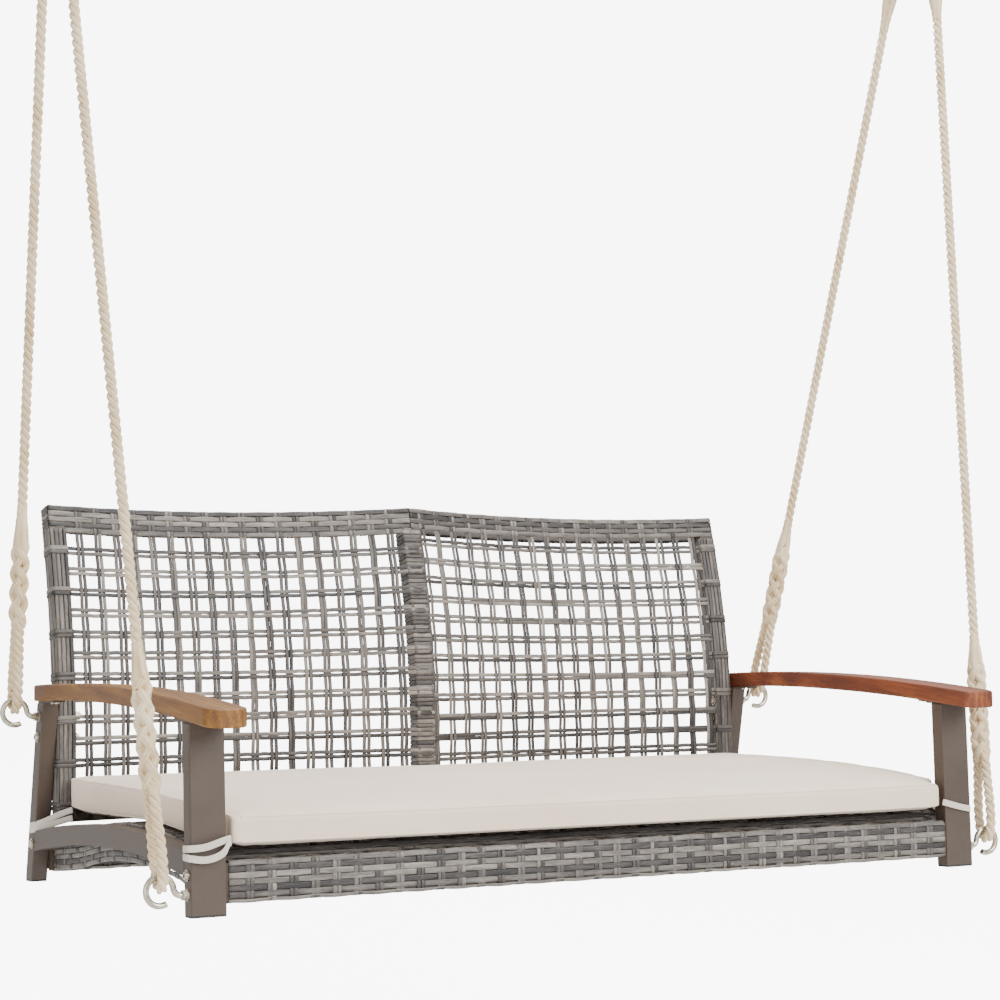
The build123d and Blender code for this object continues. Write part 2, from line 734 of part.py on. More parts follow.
foam = cushion_form(cover)
with BuildPart() as cushion_cover:
    add(cushion_form(0).part)
    add(foam.part, mode=Mode.SUBTRACT)
keep("cushion_cover", [cushion_cover])
keep("cushion_foam", [foam])
front_tie_z, rear_tie_z = 88.0, 80.5
keep(
    "cushion_ties_front",
    [
        leg_tie(side, front_place(front_tie_z + 5)[0], front_leg_wide, front_leg_deep + 2, front_tie_z)
        for name, side in sides
    ],
)
keep(
    "cushion_ties_rear",
    [
        leg_tie(side, rear_place(rear_tie_z + 5)[0], rear_leg_wide, rear_leg_deep + 3, rear_tie_z)
        for name, side in sides
    ],
)

# ---------------------------------------------------------------------------
# Ropes: each is straight between two spliced eyes, on a hook and on a ring
# ---------------------------------------------------------------------------
def rope_plane(start, end):
    """A plane in a rope: x lies fore and aft across it, and y runs along it."""
    along = (Vector(*end) - Vector(*start)).normalized()
    fore = (Vector(0, 1, 0) - along * along.Y).normalized()
    return Plane(origin=start, x_dir=fore, z_dir=fore.cross(along))


def spliced_eye(plane, held):
    """A rope eye round a bar of radius held at the plane's origin, and its tapered splice."""
    turn = held + rope_radius
    spread = eye_width**2 + eye_wide_at**2
    reach = sqrt((turn * eye_wide_at) ** 2 + (eye_width**2 - turn**2) * spread)
    bottom = -turn * (turn * eye_wide_at + reach) / (eye_width**2 - turn**2)
    section = Plane(origin=plane.origin, x_dir=plane.x_dir, z_dir=plane.y_dir)
    with BuildLine(plane) as loop:
        FilletPolyline(
            (-rope_radius, throat_at),
            (-eye_width, eye_wide_at),
            (0, bottom),
            (eye_width, eye_wide_at),
            (rope_radius, throat_at),
            radius=[eye_side_radius, turn, eye_side_radius],
        )
    with BuildPart() as eye:
        with BuildSketch(Plane(origin=loop.line @ 0, z_dir=loop.line % 0)):
            Circle(rope_radius)
        sweep(path=loop.line)
        for at, wide, thick in splice_sections:
            with BuildSketch(section.offset(at)):
                Ellipse(wide, thick)
        loft(ruled=True)
    return eye


def standing_part(plane, long):
    """The straight rope between its two splices."""
    section = Plane(origin=plane.origin, x_dir=plane.x_dir, z_dir=plane.y_dir)
    with BuildPart() as rope:
        with BuildSketch(section.offset(taper_top)):
            Circle(rope_radius)
        extrude(amount=long - 2 * taper_top)
    return rope


def hanger_ring():
    """A D-shaped steel ring that hangs from above, with its straight bar lowest."""
    corner = ring_bar + ring_corner
    bow_z = ring_corner + ring_side
    with BuildLine(Plane.XZ) as outline:
        Line((-ring_bar, 0), (ring_bar, 0))
        CenterArc((ring_bar, ring_corner), ring_corner, -90, 90)
        Line((corner, ring_corner), (corner, bow_z))
        CenterArc((0, bow_z), ring_bow, 0, 180)
        Line((-corner, bow_z), (-corner, ring_corner))
        CenterArc((-ring_bar, ring_corner), ring_corner, 180, 90)
    with BuildPart() as ring:
        with BuildSketch(Plane.YZ):
            Circle(ring_wire)
        sweep(path=outline.line)
    return ring


splice_sections = [
    (throat_at - 8, splice_wide - 1, rope_radius),
    (throat_at + 20, splice_wide, splice_deep),
    (splice_top, splice_wide, splice_deep),
    (taper_top, rope_radius, rope_radius),
]
ring_place = {"left": Location((-axis_x, 0, 0)), "right": Location((axis_x, 0, 0))}
for side_name, side in sides:
    lower_eyes, upper_eyes = [], []
    for end_name, place, offset in (("front", front_hook, rope_pitch), ("rear", rear_hook, -rope_pitch)):
        low = (side * (half + crest), place[0], place[1] + eye_up + eye_radius)
        high = (side * (axis_x + offset), axis_y, axis_z)
        rope_long = (Vector(*high) - Vector(*low)).length
        lower_eyes.append(spliced_eye(rope_plane(low, high), wire + hook_gap))
        upper_eyes.append(spliced_eye(rope_plane(high, low), ring_wire + rope_gap))
        keep(f"rope_{end_name}_{side_name}", [standing_part(rope_plane(low, high), rope_long)])
        print(f"rope_{end_name}_{side_name}: straight for {rope_long - 2 * taper_top:.1f} mm")
    keep(f"eye_splices_lower_{side_name}", lower_eyes)
    keep(f"eye_splices_upper_{side_name}", upper_eyes)
    keep(f"hanger_ring_{side_name}", [hanger_ring()], ring_place[side_name])
print(f"rope eye radii: {wire + hook_gap + rope_radius:.2f} round a hook,", end=" ")
print(f"{ring_wire + rope_gap + rope_radius:.2f} round a ring, {eye_side_radius:.0f} at the sides")
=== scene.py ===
import json
import random
from bisect import bisect_right
from math import atan2, cos, hypot, pi, radians, sin, sqrt, tan

import bpy
from mathutils import Matrix, Vector
from mathutils.bvhtree import BVHTree


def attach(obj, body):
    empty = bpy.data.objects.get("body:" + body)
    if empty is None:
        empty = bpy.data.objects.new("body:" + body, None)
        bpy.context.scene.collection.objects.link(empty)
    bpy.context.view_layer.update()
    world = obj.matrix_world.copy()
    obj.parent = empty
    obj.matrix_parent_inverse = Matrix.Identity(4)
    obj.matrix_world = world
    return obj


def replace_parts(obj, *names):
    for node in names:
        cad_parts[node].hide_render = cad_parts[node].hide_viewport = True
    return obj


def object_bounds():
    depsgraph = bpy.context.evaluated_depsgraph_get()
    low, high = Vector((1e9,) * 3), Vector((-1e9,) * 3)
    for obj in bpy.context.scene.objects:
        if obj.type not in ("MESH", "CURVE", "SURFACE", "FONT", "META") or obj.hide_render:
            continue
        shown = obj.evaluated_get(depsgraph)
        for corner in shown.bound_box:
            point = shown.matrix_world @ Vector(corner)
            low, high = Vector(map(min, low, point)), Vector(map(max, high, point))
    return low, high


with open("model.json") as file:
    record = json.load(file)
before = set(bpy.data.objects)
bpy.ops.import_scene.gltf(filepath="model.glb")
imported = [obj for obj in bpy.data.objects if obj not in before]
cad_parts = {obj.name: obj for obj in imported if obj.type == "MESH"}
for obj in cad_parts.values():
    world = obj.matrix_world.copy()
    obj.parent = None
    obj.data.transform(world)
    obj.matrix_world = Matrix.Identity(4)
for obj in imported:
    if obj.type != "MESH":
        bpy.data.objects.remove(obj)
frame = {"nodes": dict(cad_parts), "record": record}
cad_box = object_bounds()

# ----------------------------------------
# The seat's own axes, in millimetres: X across it, -Y to the front, +Z up,
# z = 0 at the leg ends. It hangs a little turned about the swing axis.
# ----------------------------------------
MM = 0.001
AXIS = Vector((0.0, -149.0, 1700.0))  # the middle of the swing axis
SIDES = (("left", -1), ("right", 1))
NODES = frame["nodes"]


def hang_lean():
    """The angle about X at which the seat hangs: the leg caps' undersides were level."""
    down = Vector()
    for face in NODES["leg_caps"].data.polygons:
        if face.normal.z < -0.9:
            down += face.normal * face.area
    return atan2(down.y, -down.z)


LEAN = Matrix.Rotation(hang_lean(), 4, "X")
HANG = Matrix.Scale(MM, 4) @ LEAN @ Matrix.Translation(-AXIS)


def row(point):
    """A point in the seat's axes, in mm, as the row's metres."""
    return HANG @ Vector(point)


def placed(name, data):
    """A new object that shows some data, in the scene."""
    made = bpy.data.objects.new(name, data)
    bpy.context.scene.collection.objects.link(made)
    return made


def blend_between(a, b, share):
    """A value part of the way from a to b."""
    return a + (b - a) * share


def smooth(share):
    """Eases a share from 0 to 1 in and out."""
    share = min(max(share, 0.0), 1.0)
    return share * share * (3 - 2 * share)


# ----------------------------------------
# Camera
# ----------------------------------------
def add_camera():
    """A camera at the seat's height, to its left front, looking slightly up."""
    data = bpy.data.cameras.new("camera")
    data.lens = 85.8
    data.sensor_width = 36.0
    camera = placed("camera", data)
    turn = Matrix.Rotation(radians(-28.898), 4, "Z")
    tilt = Matrix.Rotation(radians(90 + 3.990), 4, "X")
    roll = Matrix.Rotation(radians(-0.845), 4, "Z")
    camera.matrix_world = LEAN @ turn @ tilt @ roll
    camera.location = row((-1801.9, -3284.0, 321.3))
    bpy.context.scene.camera = camera


add_camera()


# ----------------------------------------
# Materials
# ----------------------------------------
def colour(red, green, blue):
    """A colour as a screen shows it, 0 to 255, as the linear colour a shader takes."""
    return tuple((value / 255) ** 2.2 for value in (red, green, blue)) + (1.0,)


class Finish:
    """A procedural material: a Principled shader and the nodes that feed it."""

    def __init__(self, name, roughness, metallic=0.0):
        self.material = bpy.data.materials.new(name)
        self.material.use_nodes = True
        self.tree = self.material.node_tree
        self.shader = self.tree.nodes["Principled BSDF"]
        self.shader.inputs["Roughness"].default_value = roughness
        self.shader.inputs["Metallic"].default_value = metallic

    def node(self, kind, **settings):
        made = self.tree.nodes.new(kind)
        for name, value in settings.items():
            setattr(made, name, value)
        return made

    def link(self, source, target):
        self.tree.links.new(source, target)

    def coordinates(self, kind, stretch):
        """Texture coordinates of a kind, stretched along each axis."""
        source = self.node("ShaderNodeTexCoord")
        mapping = self.node("ShaderNodeMapping")
        mapping.inputs["Scale"].default_value = stretch
        self.link(source.outputs[kind], mapping.inputs["Vector"])
        return mapping.outputs["Vector"]

    def noise(self, coordinates, scale=1.0, detail=3.0, roughness=0.55):
        made = self.node("ShaderNodeTexNoise")
        made.inputs["Scale"].default_value = scale
        made.inputs["Detail"].default_value = detail
        made.inputs["Roughness"].default_value = roughness
        self.link(coordinates, made.inputs["Vector"])
        return made.outputs["Fac"]

    def solid_noise(self, scale, detail):
        """Noise in the object's own space, the same along every axis."""
        return self.noise(self.coordinates("Object", (1.0, 1.0, 1.0)), scale, detail)

    def wave(self, coordinates, scale=1.0, distortion=0.0, direction="X"):
        made = self.node("ShaderNodeTexWave", bands_direction=direction)
        made.inputs["Scale"].default_value = scale
        made.inputs["Distortion"].default_value = distortion
        self.link(coordinates, made.inputs["Vector"])
        return made.outputs["Fac"]

    def math(self, operation, first, second=None):
        made = self.node("ShaderNodeMath", operation=operation)
        for value, socket in zip((first, second), made.inputs):
            if isinstance(value, (int, float)):
                socket.default_value = value
            elif value is not None:
                self.link(value, socket)
        return made.outputs["Value"]

    def mixed(self, first, second, share):
        """Two values added in a fixed proportion."""
        kept = self.math("MULTIPLY", first, 1 - share)
        added = self.math("MULTIPLY", second, share)
        return self.math("ADD", kept, added)

    def ramp(self, value, stops):
        """Colours along a value: stops are (place, colour)."""
        made = self.node("ShaderNodeValToRGB")
        elements = made.color_ramp.elements
        while len(elements) < len(stops):
            elements.new(1.0)
        for element, (place, shown) in zip(elements, stops):
            element.position = place
            element.color = shown
        self.link(value, made.inputs["Fac"])
        return made.outputs["Color"]

    def paint(self, shown):
        self.link(shown, self.shader.inputs["Base Color"])

    def vary_roughness(self, value, low, high):
        made = self.node("ShaderNodeMapRange")
        made.inputs["To Min"].default_value = low
        made.inputs["To Max"].default_value = high
        self.link(value, made.inputs["Value"])
        self.link(made.outputs["Result"], self.shader.inputs["Roughness"])

    def bump(self, height, deep, strength=1.0):
        """Raises the surface by a value, so many mm deep."""
        made = self.node("ShaderNodeBump")
        made.inputs["Strength"].default_value = strength
        made.inputs["Distance"].default_value = deep * MM
        self.link(height, made.inputs["Height"])
        self.link(made.outputs["Normal"], self.shader.inputs["Normal"])


def wicker_finish():
    """Flat synthetic strands: streaks along each, and a tone that differs from strand to strand."""
    finish = Finish("wicker", 0.5)
    source = finish.node("ShaderNodeTexCoord")
    parts = finish.node("ShaderNodeSeparateXYZ")
    finish.link(source.outputs["UV"], parts.inputs["Vector"])
    strand = finish.math("FLOOR", parts.outputs["X"])
    tone = finish.node("ShaderNodeTexWhiteNoise", noise_dimensions="1D")
    finish.link(strand, tone.inputs["W"])
    streaks = finish.noise(finish.coordinates("UV", (4.5, 22.0, 1.0)), 1.0, 4.0, 0.65)
    patches = finish.noise(finish.coordinates("UV", (1.0, 5.0, 1.0)), 1.0, 2.0, 0.5)
    grain = finish.noise(finish.coordinates("UV", (16.0, 90.0, 1.0)), 1.0, 3.0, 0.7)
    shade = finish.mixed(finish.mixed(streaks, patches, 0.45), grain, 0.28)
    shade = finish.mixed(shade, tone.outputs["Value"], 0.2)
    dark, middle = colour(34, 32, 32), colour(74, 69, 66)
    light, pale = colour(112, 106, 99), colour(160, 152, 142)
    stops = [(0.36, dark), (0.47, middle), (0.57, light), (0.69, pale)]
    finish.paint(finish.ramp(shade, stops))
    ridges = finish.wave(finish.coordinates("UV", (1.0, 0.0, 0.0)), 1.6)
    finish.bump(finish.mixed(ridges, grain, 0.6), 0.35)
    return finish.material


def rope_finish():
    """Twisted cream yarn, darker and browner in patches, with the yarns' lines along each strand."""
    finish = Finish("rope", 0.85)
    finish.shader.inputs["Sheen Weight"].default_value = 0.15
    yarns = finish.wave(finish.coordinates("UV", (1.0, 38.0, 1.0)), 1.9, 0.6)
    fibres = finish.noise(finish.coordinates("UV", (30.0, 160.0, 1.0)), 1.0, 3.0, 0.7)
    patches = finish.noise(finish.coordinates("Object", (28.0, 28.0, 14.0)), 1.0, 2.0)
    flecks = finish.noise(finish.coordinates("Object", (140.0, 140.0, 90.0)), 1.0, 1.0)
    shade = finish.mixed(finish.mixed(fibres, patches, 0.5), yarns, 0.12)
    flecks = finish.math("GREATER_THAN", flecks, 0.735)
    shade = finish.math("SUBTRACT", shade, finish.math("MULTIPLY", flecks, 0.3))
    brown, straw = colour(126, 92, 56), colour(190, 160, 116)
    cream, white = colour(224, 202, 164), colour(240, 222, 188)
    finish.paint(finish.ramp(shade, [(0.14, brown), (0.33, straw), (0.5, cream), (0.68, white)]))
    finish.bump(finish.mixed(yarns, fibres, 0.5), 0.6)
    return finish.material


def paint_finish():
    """Taupe powder coat: a fine, slightly uneven grain."""
    finish = Finish("frame_paint", 0.5)
    grain = finish.solid_noise(900.0, 2.0)
    patches = finish.solid_noise(14.0, 3.0)
    shown = [(0.35, colour(66, 55, 46)), (0.65, colour(75, 63, 53))]
    finish.paint(finish.ramp(finish.mixed(patches, grain, 0.3), shown))
    finish.vary_roughness(patches, 0.42, 0.58)
    finish.bump(grain, 0.12)
    return finish.material


def wood_finish(name, dark, middle, light):
    """Oiled hardwood, its grain running fore and aft, with fine pores and a few broad figures."""
    finish = Finish(name, 0.5)
    figure = finish.noise(finish.coordinates("Object", (26.0, 2.6, 26.0)), 1.0, 4.0, 0.6)
    rings = finish.wave(finish.coordinates("Object", (1.0, 0.16, 1.3)), 26.0, 5.0)
    fibres = finish.noise(finish.coordinates("Object", (420.0, 14.0, 420.0)), 1.0, 3.0, 0.6)
    shade = finish.mixed(finish.mixed(figure, rings, 0.16), fibres, 0.35)
    finish.paint(finish.ramp(shade, [(0.3, dark), (0.5, middle), (0.68, light)]))
    finish.vary_roughness(fibres, 0.42, 0.62)
    finish.bump(finish.mixed(fibres, rings, 0.2), 0.22)
    return finish.material


def cushion_finish(name, low, high):
    """Cream woven polyester: a fine weave under slow, soft mottling."""
    finish = Finish(name, 0.85)
    finish.shader.inputs["Sheen Weight"].default_value = 0.25
    across = finish.wave(finish.coordinates("Object", (1.0, 0.0, 0.0)), 260.0)
    along = finish.wave(finish.coordinates("Object", (0.0, 1.0, 1.0)), 260.0, direction="Y")
    weave = finish.mixed(across, along, 0.5)
    slubs = finish.noise(finish.coordinates("Object", (500.0, 60.0, 60.0)), 1.0, 2.0)
    patches = finish.noise(finish.coordinates("Object", (5.0, 5.0, 5.0)), 1.0, 3.0)
    shade = finish.mixed(finish.mixed(patches, slubs, 0.3), weave, 0.1)
    finish.paint(finish.ramp(shade, [(0.3, low), (0.7, high)]))
    finish.bump(finish.mixed(weave, slubs, 0.5), 0.18)
    return finish.material


def zinc_finish():
    """Bright zinc plating with a slightly warm cast."""
    finish = Finish("zinc_steel", 0.26, 1.0)
    patches = finish.solid_noise(120.0, 3.0)
    finish.paint(finish.ramp(patches, [(0.3, colour(168, 160, 142)), (0.7, colour(214, 208, 192))]))
    finish.vary_roughness(patches, 0.18, 0.38)
    finish.bump(patches, 0.08)
    return finish.material


def plastic_finish():
    """Dark moulded plastic with a fine texture."""
    finish = Finish("cap_plastic", 0.6)
    grain = finish.solid_noise(700.0, 2.0)
    finish.paint(finish.ramp(grain, [(0.3, colour(34, 32, 31)), (0.7, colour(50, 47, 45))]))
    finish.bump(grain, 0.1)
    return finish.material


WOODS = {
    "left": wood_finish(
        "armrest_wood_left", colour(74, 40, 8), colour(114, 74, 18), colour(150, 108, 38)
    ),
    "right": wood_finish(
        "armrest_wood_right", colour(66, 26, 8), colour(106, 50, 18), colour(146, 82, 38)
    ),
}
FINISHES = {
    "frame_paint": paint_finish(),
    "wicker": wicker_finish(),
    "rope": rope_finish(),
    "cushion_fabric": cushion_finish("cushion_fabric", colour(226, 205, 180), colour(242, 222, 198)),
    "tie_tape": cushion_finish("tie_tape", colour(196, 186, 172), colour(218, 209, 196)),
    "zinc_steel": zinc_finish(),
    "cap_plastic": plastic_finish(),
}


def finish_cad_nodes():
    """Gives each CAD piece the finish of its slot."""
    for part in frame["record"]["subparts"]:
        node, slot = part["node"], part["material_slot"]
        shown = FINISHES.get(slot)
        if slot == "armrest_wood":
            shown = WOODS[node.split("_")[-1]]
        if shown:
            for material_slot in NODES[node].material_slots:
                material_slot.material = shown


finish_cad_nodes()


# ----------------------------------------
# Strips: many long closed sections swept into one mesh, in the seat's axes.
# Each has its own number: in its UVs, U's whole part is the strip's number and
# V is metres along it.
# ----------------------------------------
class Strips:
    def __init__(self):
        self.points, self.faces, self.uvs = [], [], []
        self.count = 0

    def sweep(self, rings, lengths, closed=False):
        """Skins a list of rings, each a closed list of points, at lengths along the strip."""
        first, around = len(self.points), len(rings[0])
        for ring in rings:
            self.points.extend(ring)
        steps = len(rings) if closed else len(rings) - 1
        for step in range(steps):
            low = first + step * around
            high = first + (step + 1) % len(rings) * around
            v0 = lengths[step]
            v1 = lengths[step + 1] if step + 1 < len(rings) else v0 + lengths[1] - lengths[0]
            for side in range(around):
                after = (side + 1) % around
                self.faces.append((low + side, low + after, high + after, high + side))
                u0 = self.count + 0.01 + 0.98 * side / around
                u1 = self.count + 0.01 + 0.98 * (side + 1) / around
                self.uvs.extend(((u0, v0), (u1, v0), (u1, v1), (u0, v1)))
        if not closed:
            last = first + steps * around
            self.faces.append(tuple(first + side for side in reversed(range(around))))
            self.faces.append(tuple(last + side for side in range(around)))
            self.uvs.extend([(self.count + 0.5, lengths[0])] * around)
            self.uvs.extend([(self.count + 0.5, lengths[-1])] * around)
        self.count += 1

    def piece(self, name, slot, body="swing"):
        """The gathered strips as an object that rides on a body."""
        mesh = bpy.data.meshes.new(name)
        mesh.from_pydata(self.points, [], self.faces)
        mesh.transform(HANG)
        layer = mesh.uv_layers.new(name="strips")
        layer.data.foreach_set("uv", [value for uv in self.uvs for value in uv])
        mesh.polygons.foreach_set("use_smooth", [True] * len(mesh.polygons))
        mesh.materials.append(FINISHES[slot])
        made = placed(name, mesh)
        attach(made, body)
        return made


def flat_outline(wide, thick):
    """A flat strand's section, as (across, up): softly crowned, with rounded edges."""
    half, rise = wide / 2, thick / 2
    upper = [(-half, 0), (-0.82 * half, 0.75 * rise), (-0.35 * half, rise)]
    upper += [(0.35 * half, rise), (0.82 * half, 0.75 * rise), (half, 0)]
    lower = [(across, -up) for across, up in reversed(upper[1:-1])]
    return [(-across, up) for across, up in upper + lower]


def ring_at(centre, side, up, outline):
    """A section's outline placed at a point."""
    return [centre + side * across + up * rise for across, rise in outline]


# ----------------------------------------
# Weaving: strands are laid on a surface, given as surface(u, v, out) in the
# seat's axes, with out the height above it
# ----------------------------------------
STRAND_WIDE, STRAND_THICK = 6.4, 1.7
STRAND = flat_outline(STRAND_WIDE, STRAND_THICK)
DICE = random.Random(7)


def steps_between(start, end, step):
    """Even places from start to end, about a step apart."""
    count = max(2, round(abs(end - start) / step))
    return [start + (end - start) * index / count for index in range(count + 1)]


def lay_strand(strips, surface, places, across, height, lengthways=True, outline=STRAND, closed=False):
    """Lays a strand through places on a surface.

    places run along u (lengthways) or along v; across(t) is its place the
    other way, and height(t) how far it stands off the surface.
    """
    beside = 1.0
    centres, besides = [], []
    for t in places:
        other, out = across(t), height(t)
        if lengthways:
            centres.append(surface(t, other, out))
            besides.append(surface(t, other + beside, out))
        else:
            centres.append(surface(other, t, out))
            besides.append(surface(other + beside, t, out))
    rings, lengths, travelled, last = [], [], DICE.random() * 9, len(centres) - 1
    for index, centre in enumerate(centres):
        low = centres[index - 1] if index or closed else centre
        high = centres[(index + 1) % len(centres)] if index < last or closed else centre
        ahead = (high - low).normalized()
        side = besides[index] - centre
        side = (side - ahead * side.dot(ahead)).normalized()
        if index:
            travelled += (centre - centres[index - 1]).length * MM
        rings.append(ring_at(centre, side, ahead.cross(side), outline))
        lengths.append(travelled)
    strips.sweep(rings, lengths, closed)


def back_path():
    """The back's middle line, as a function of the length up it: (y, z, lean)."""
    foot, bend, top, radius = (280.0, 92.0), (280.0, 350.7), (335.6, 582.3), 1184.0
    lean = atan2(top[0] - bend[0], top[1] - bend[1])
    tangent = radius * tan(lean / 2)
    straight = bend[1] - foot[1] - tangent
    curved = radius * lean
    whole = straight + curved + hypot(top[0] - bend[0], top[1] - bend[1]) - tangent

    def at(s):
        if s < straight:
            return foot[0], foot[1] + s, 0.0
        turned = min((s - straight) / radius, lean)
        y = foot[0] + radius * (1 - cos(turned))
        z = foot[1] + straight + radius * sin(turned)
        beyond = max(s - straight - curved, 0.0)
        return y + beyond * sin(turned), z + beyond * cos(turned), turned

    return at, whole


BACK_AT, BACK_LONG = back_path()


def arc_through(first, second, third):
    """Centre and radius of the circle through three points."""
    (ax, ay), (bx, by), (cx, cy) = first, second, third
    double = 2 * (ax * (by - cy) + bx * (cy - ay) + cx * (ay - by))
    a, b, c = ax**2 + ay**2, bx**2 + by**2, cx**2 + cy**2
    x = (a * (by - cy) + b * (cy - ay) + c * (ay - by)) / double
    y = (a * (cx - bx) + b * (ax - cx) + c * (bx - ax)) / double
    return x, y, hypot(ax - x, ay - y)


BACK_HALF = 625.0
HOLLOW_X, HOLLOW_Y, HOLLOW_RADIUS = arc_through((BACK_HALF, 0.0), (340.0, 22.0), (0.0, -22.0))


def hollow(x):
    """How far back the back's plan curve lies, at a distance from the middle."""
    return HOLLOW_Y + sqrt(HOLLOW_RADIUS**2 - (abs(x) - HOLLOW_X) ** 2)


def back_surface(x, s, out):
    """The back's middle sheet: x across, s up it, out towards the front."""
    y, z, lean = BACK_AT(s)
    back = hollow(x) - out
    return Vector((x, y + back * cos(lean), z - back * sin(lean)))


class Girth:
    """A way round a section: straight runs with rounded corners, by length along it."""

    def __init__(self, corners, radius, closed):
        self.points = []
        count = len(corners)
        for index, corner in enumerate(corners):
            corner = Vector(corner)
            if not closed and index in (0, count - 1):
                self.points.append(corner)
                continue
            before = (Vector(corners[index - 1]) - corner).normalized()
            after = (Vector(corners[(index + 1) % count]) - corner).normalized()
            for share in (0.0, 0.25, 0.5, 0.75, 1.0):
                start, end = corner + before * radius, corner + after * radius
                first = start.lerp(corner, share)
                self.points.append(first.lerp(corner.lerp(end, share), share))
        if closed:
            self.points.append(self.points[0])
        self.places = [0.0]
        for low, high in zip(self.points, self.points[1:]):
            self.places.append(self.places[-1] + (high - low).length)
        self.long = self.places[-1]
        self.closed = closed
        self.runs = [(high - low).normalized() for low, high in zip(self.points, self.points[1:])]

    def at(self, v, out):
        """The point at a length round it, so far out to the left of the way it goes."""
        if self.closed:
            v %= self.long
        index = min(max(bisect_right(self.places, v) - 1, 0), len(self.runs) - 1)
        run, low = self.runs[index], self.points[index]
        ahead = v - self.places[index]
        return low.x + run.x * ahead - run.y * out, low.y + run.y * ahead + run.x * out


def wave_height(centre, size, start, pitch, sign):
    """A height that rises and falls, crossing at every pitch."""
    return lambda t: centre + sign * size * cos(pi * (t - start) / pitch)


def pair_gap(wide, start, pitch, spread):
    """Half the distance between a pair's strands: closest at crossings."""
    return lambda t: wide + spread * sin(pi * (t - start) / pitch) ** 2


def parity(number):
    """1 for an even number and -1 for an odd one."""
    return 1 if number % 2 == 0 else -1


# ----------------------------------------
# The back's open weave: pairs of strands both ways
# ----------------------------------------
PANEL_OUT, SWING_OUT = 14.1, 1.05  # the weave's middle, and how far strands rise and fall about it
TOP_BAND = {-1: BACK_LONG - 45.0, 1: BACK_LONG - 36.0}
ROWS = {-1: (421.0, 33.1, 13), 1: (437.0, 32.4, 14)}  # the top row, the pitch and the number
COLUMNS = {-1: (36.8, 571.4, 18), 1: (23.0, 581.1, 18)}  # the innermost, the outermost, the number
STILE_IN, RIDGE_HALF = 594.0, 18.0
PAIR_HALF = 3.35
SPREADS = {-1: (0.3, 0.6, 0.9), 1: (0.1, 0.3, 0.6)}  # how far a row's two strands part between columns


def back_half_weave(side):
    """One half of the back's weave, from the ridge to its stile."""
    strips = Strips()
    top_row, row_pitch, row_count = ROWS[side]
    near, far, column_count = COLUMNS[side]
    pitch = (far - near) / (column_count - 1)
    for number in range(row_count):
        s = top_row - row_pitch * number
        sag = DICE.uniform(-0.9, 0.9)
        height = wave_height(PANEL_OUT, SWING_OUT, near, pitch, parity(number))
        gap = pair_gap(PAIR_HALF, near, pitch, DICE.choice(SPREADS[side]))
        for edge in (-1, 1):
            places = steps_between(RIDGE_HALF - 8, STILE_IN + 4, 4.0)
            wobble = DICE.random() * 6
            lay_strand(
                strips,
                lambda x, v, out: back_surface(side * x, v, out),
                places,
                lambda x: s + edge * gap(x) + sag * sin(x / 90 + wobble),
                height,
            )
    for number in range(column_count):
        x = near + pitch * number
        drift = DICE.uniform(-1.2, 1.2)
        height = wave_height(PANEL_OUT, SWING_OUT, top_row, row_pitch, -parity(number))
        gap = pair_gap(PAIR_HALF, top_row, row_pitch, DICE.choice((0.0, 0.15, 0.4)))
        for edge in (-1, 1):
            places = steps_between(4.0, BACK_LONG - 6.0, 3.4)
            wobble = DICE.random() * 6
            lay_strand(
                strips,
                lambda u, s, out: back_surface(side * u, s, out),
                places,
                lambda s: x + edge * gap(s) + drift * sin(s / 110 + wobble),
                lambda s: height(s) - 1.2 * smooth((s - TOP_BAND[side]) / 12),
                lengthways=False,
            )
    return strips


def add_back_weave():
    for name, side in SIDES:
        woven = back_half_weave(side).piece(f"back_weave_{name}_strands", "wicker")
        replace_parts(woven, f"back_weave_{name}")


add_back_weave()


# ----------------------------------------
# Wrapped edges: strands wound lengthways round a tube, bound by cross pairs
# ----------------------------------------
def bound_wrap(strips, surface, ends, ways, crossings, cross_span, closed, rise=0.8, step=5.0):
    """Strands laid lengthways at each of ways, and pairs over and under them.

    crossings are the places along of the cross pairs, evenly pitched, and
    cross_span the part of the girth that they go round.
    """
    pitch = abs(crossings[1] - crossings[0])
    spacing = ways[1] - ways[0]
    for number, way in enumerate(ways):
        height = wave_height(0.0, rise, crossings[0], pitch, parity(number))
        drift, wobble = DICE.uniform(-0.3, 0.3), DICE.random() * 6
        lay_strand(
            strips,
            surface,
            steps_between(*ends, step),
            lambda u: way + drift * sin(u / 70 + wobble),
            height,
            outline=flat_outline(min(spacing * 0.94, STRAND_WIDE * 1.3), STRAND_THICK),
        )
    for number, place in enumerate(crossings):
        height = wave_height(0.0, rise + 0.1, ways[0], spacing, -parity(number))
        for edge in (-1, 1):
            places = steps_between(*cross_span, 2.2)
            lay_strand(
                strips,
                surface,
                places[:-1] if closed else places,
                lambda v: place + edge * PAIR_HALF * 0.95,
                height,
                lengthways=False,
                closed=closed,
            )


def add_top_wrap():
    """The band over the top rail: down the front, over the top and down the back."""
    strips = Strips()
    for name, side in SIDES:
        drop = BACK_LONG - TOP_BAND[side]
        girth = Girth([(14.8, -drop), (14.8, -1.4), (-14.8, -1.4), (-14.8, -38.0)], 4.0, False)

        def surface(u, v, out):
            over, rise = girth.at(v, out)
            return back_surface(side * u, BACK_LONG + rise, over)

        count = round(girth.long / 8.9)
        ways = [4.2 + index * (girth.long - 8.4) / (count - 1) for index in range(count)]
        near, far, columns = COLUMNS[side]
        pitch = (far - near) / (columns - 1)
        crossings = [near + pitch * index for index in range(columns)]
        bound_wrap(strips, surface, (0.6, 622.0), ways, crossings, (0.0, girth.long), False)
        end_cap_strands(strips, side)
    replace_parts(strips.piece("back_top_wrap_strands", "wicker"), "back_top_wrap")


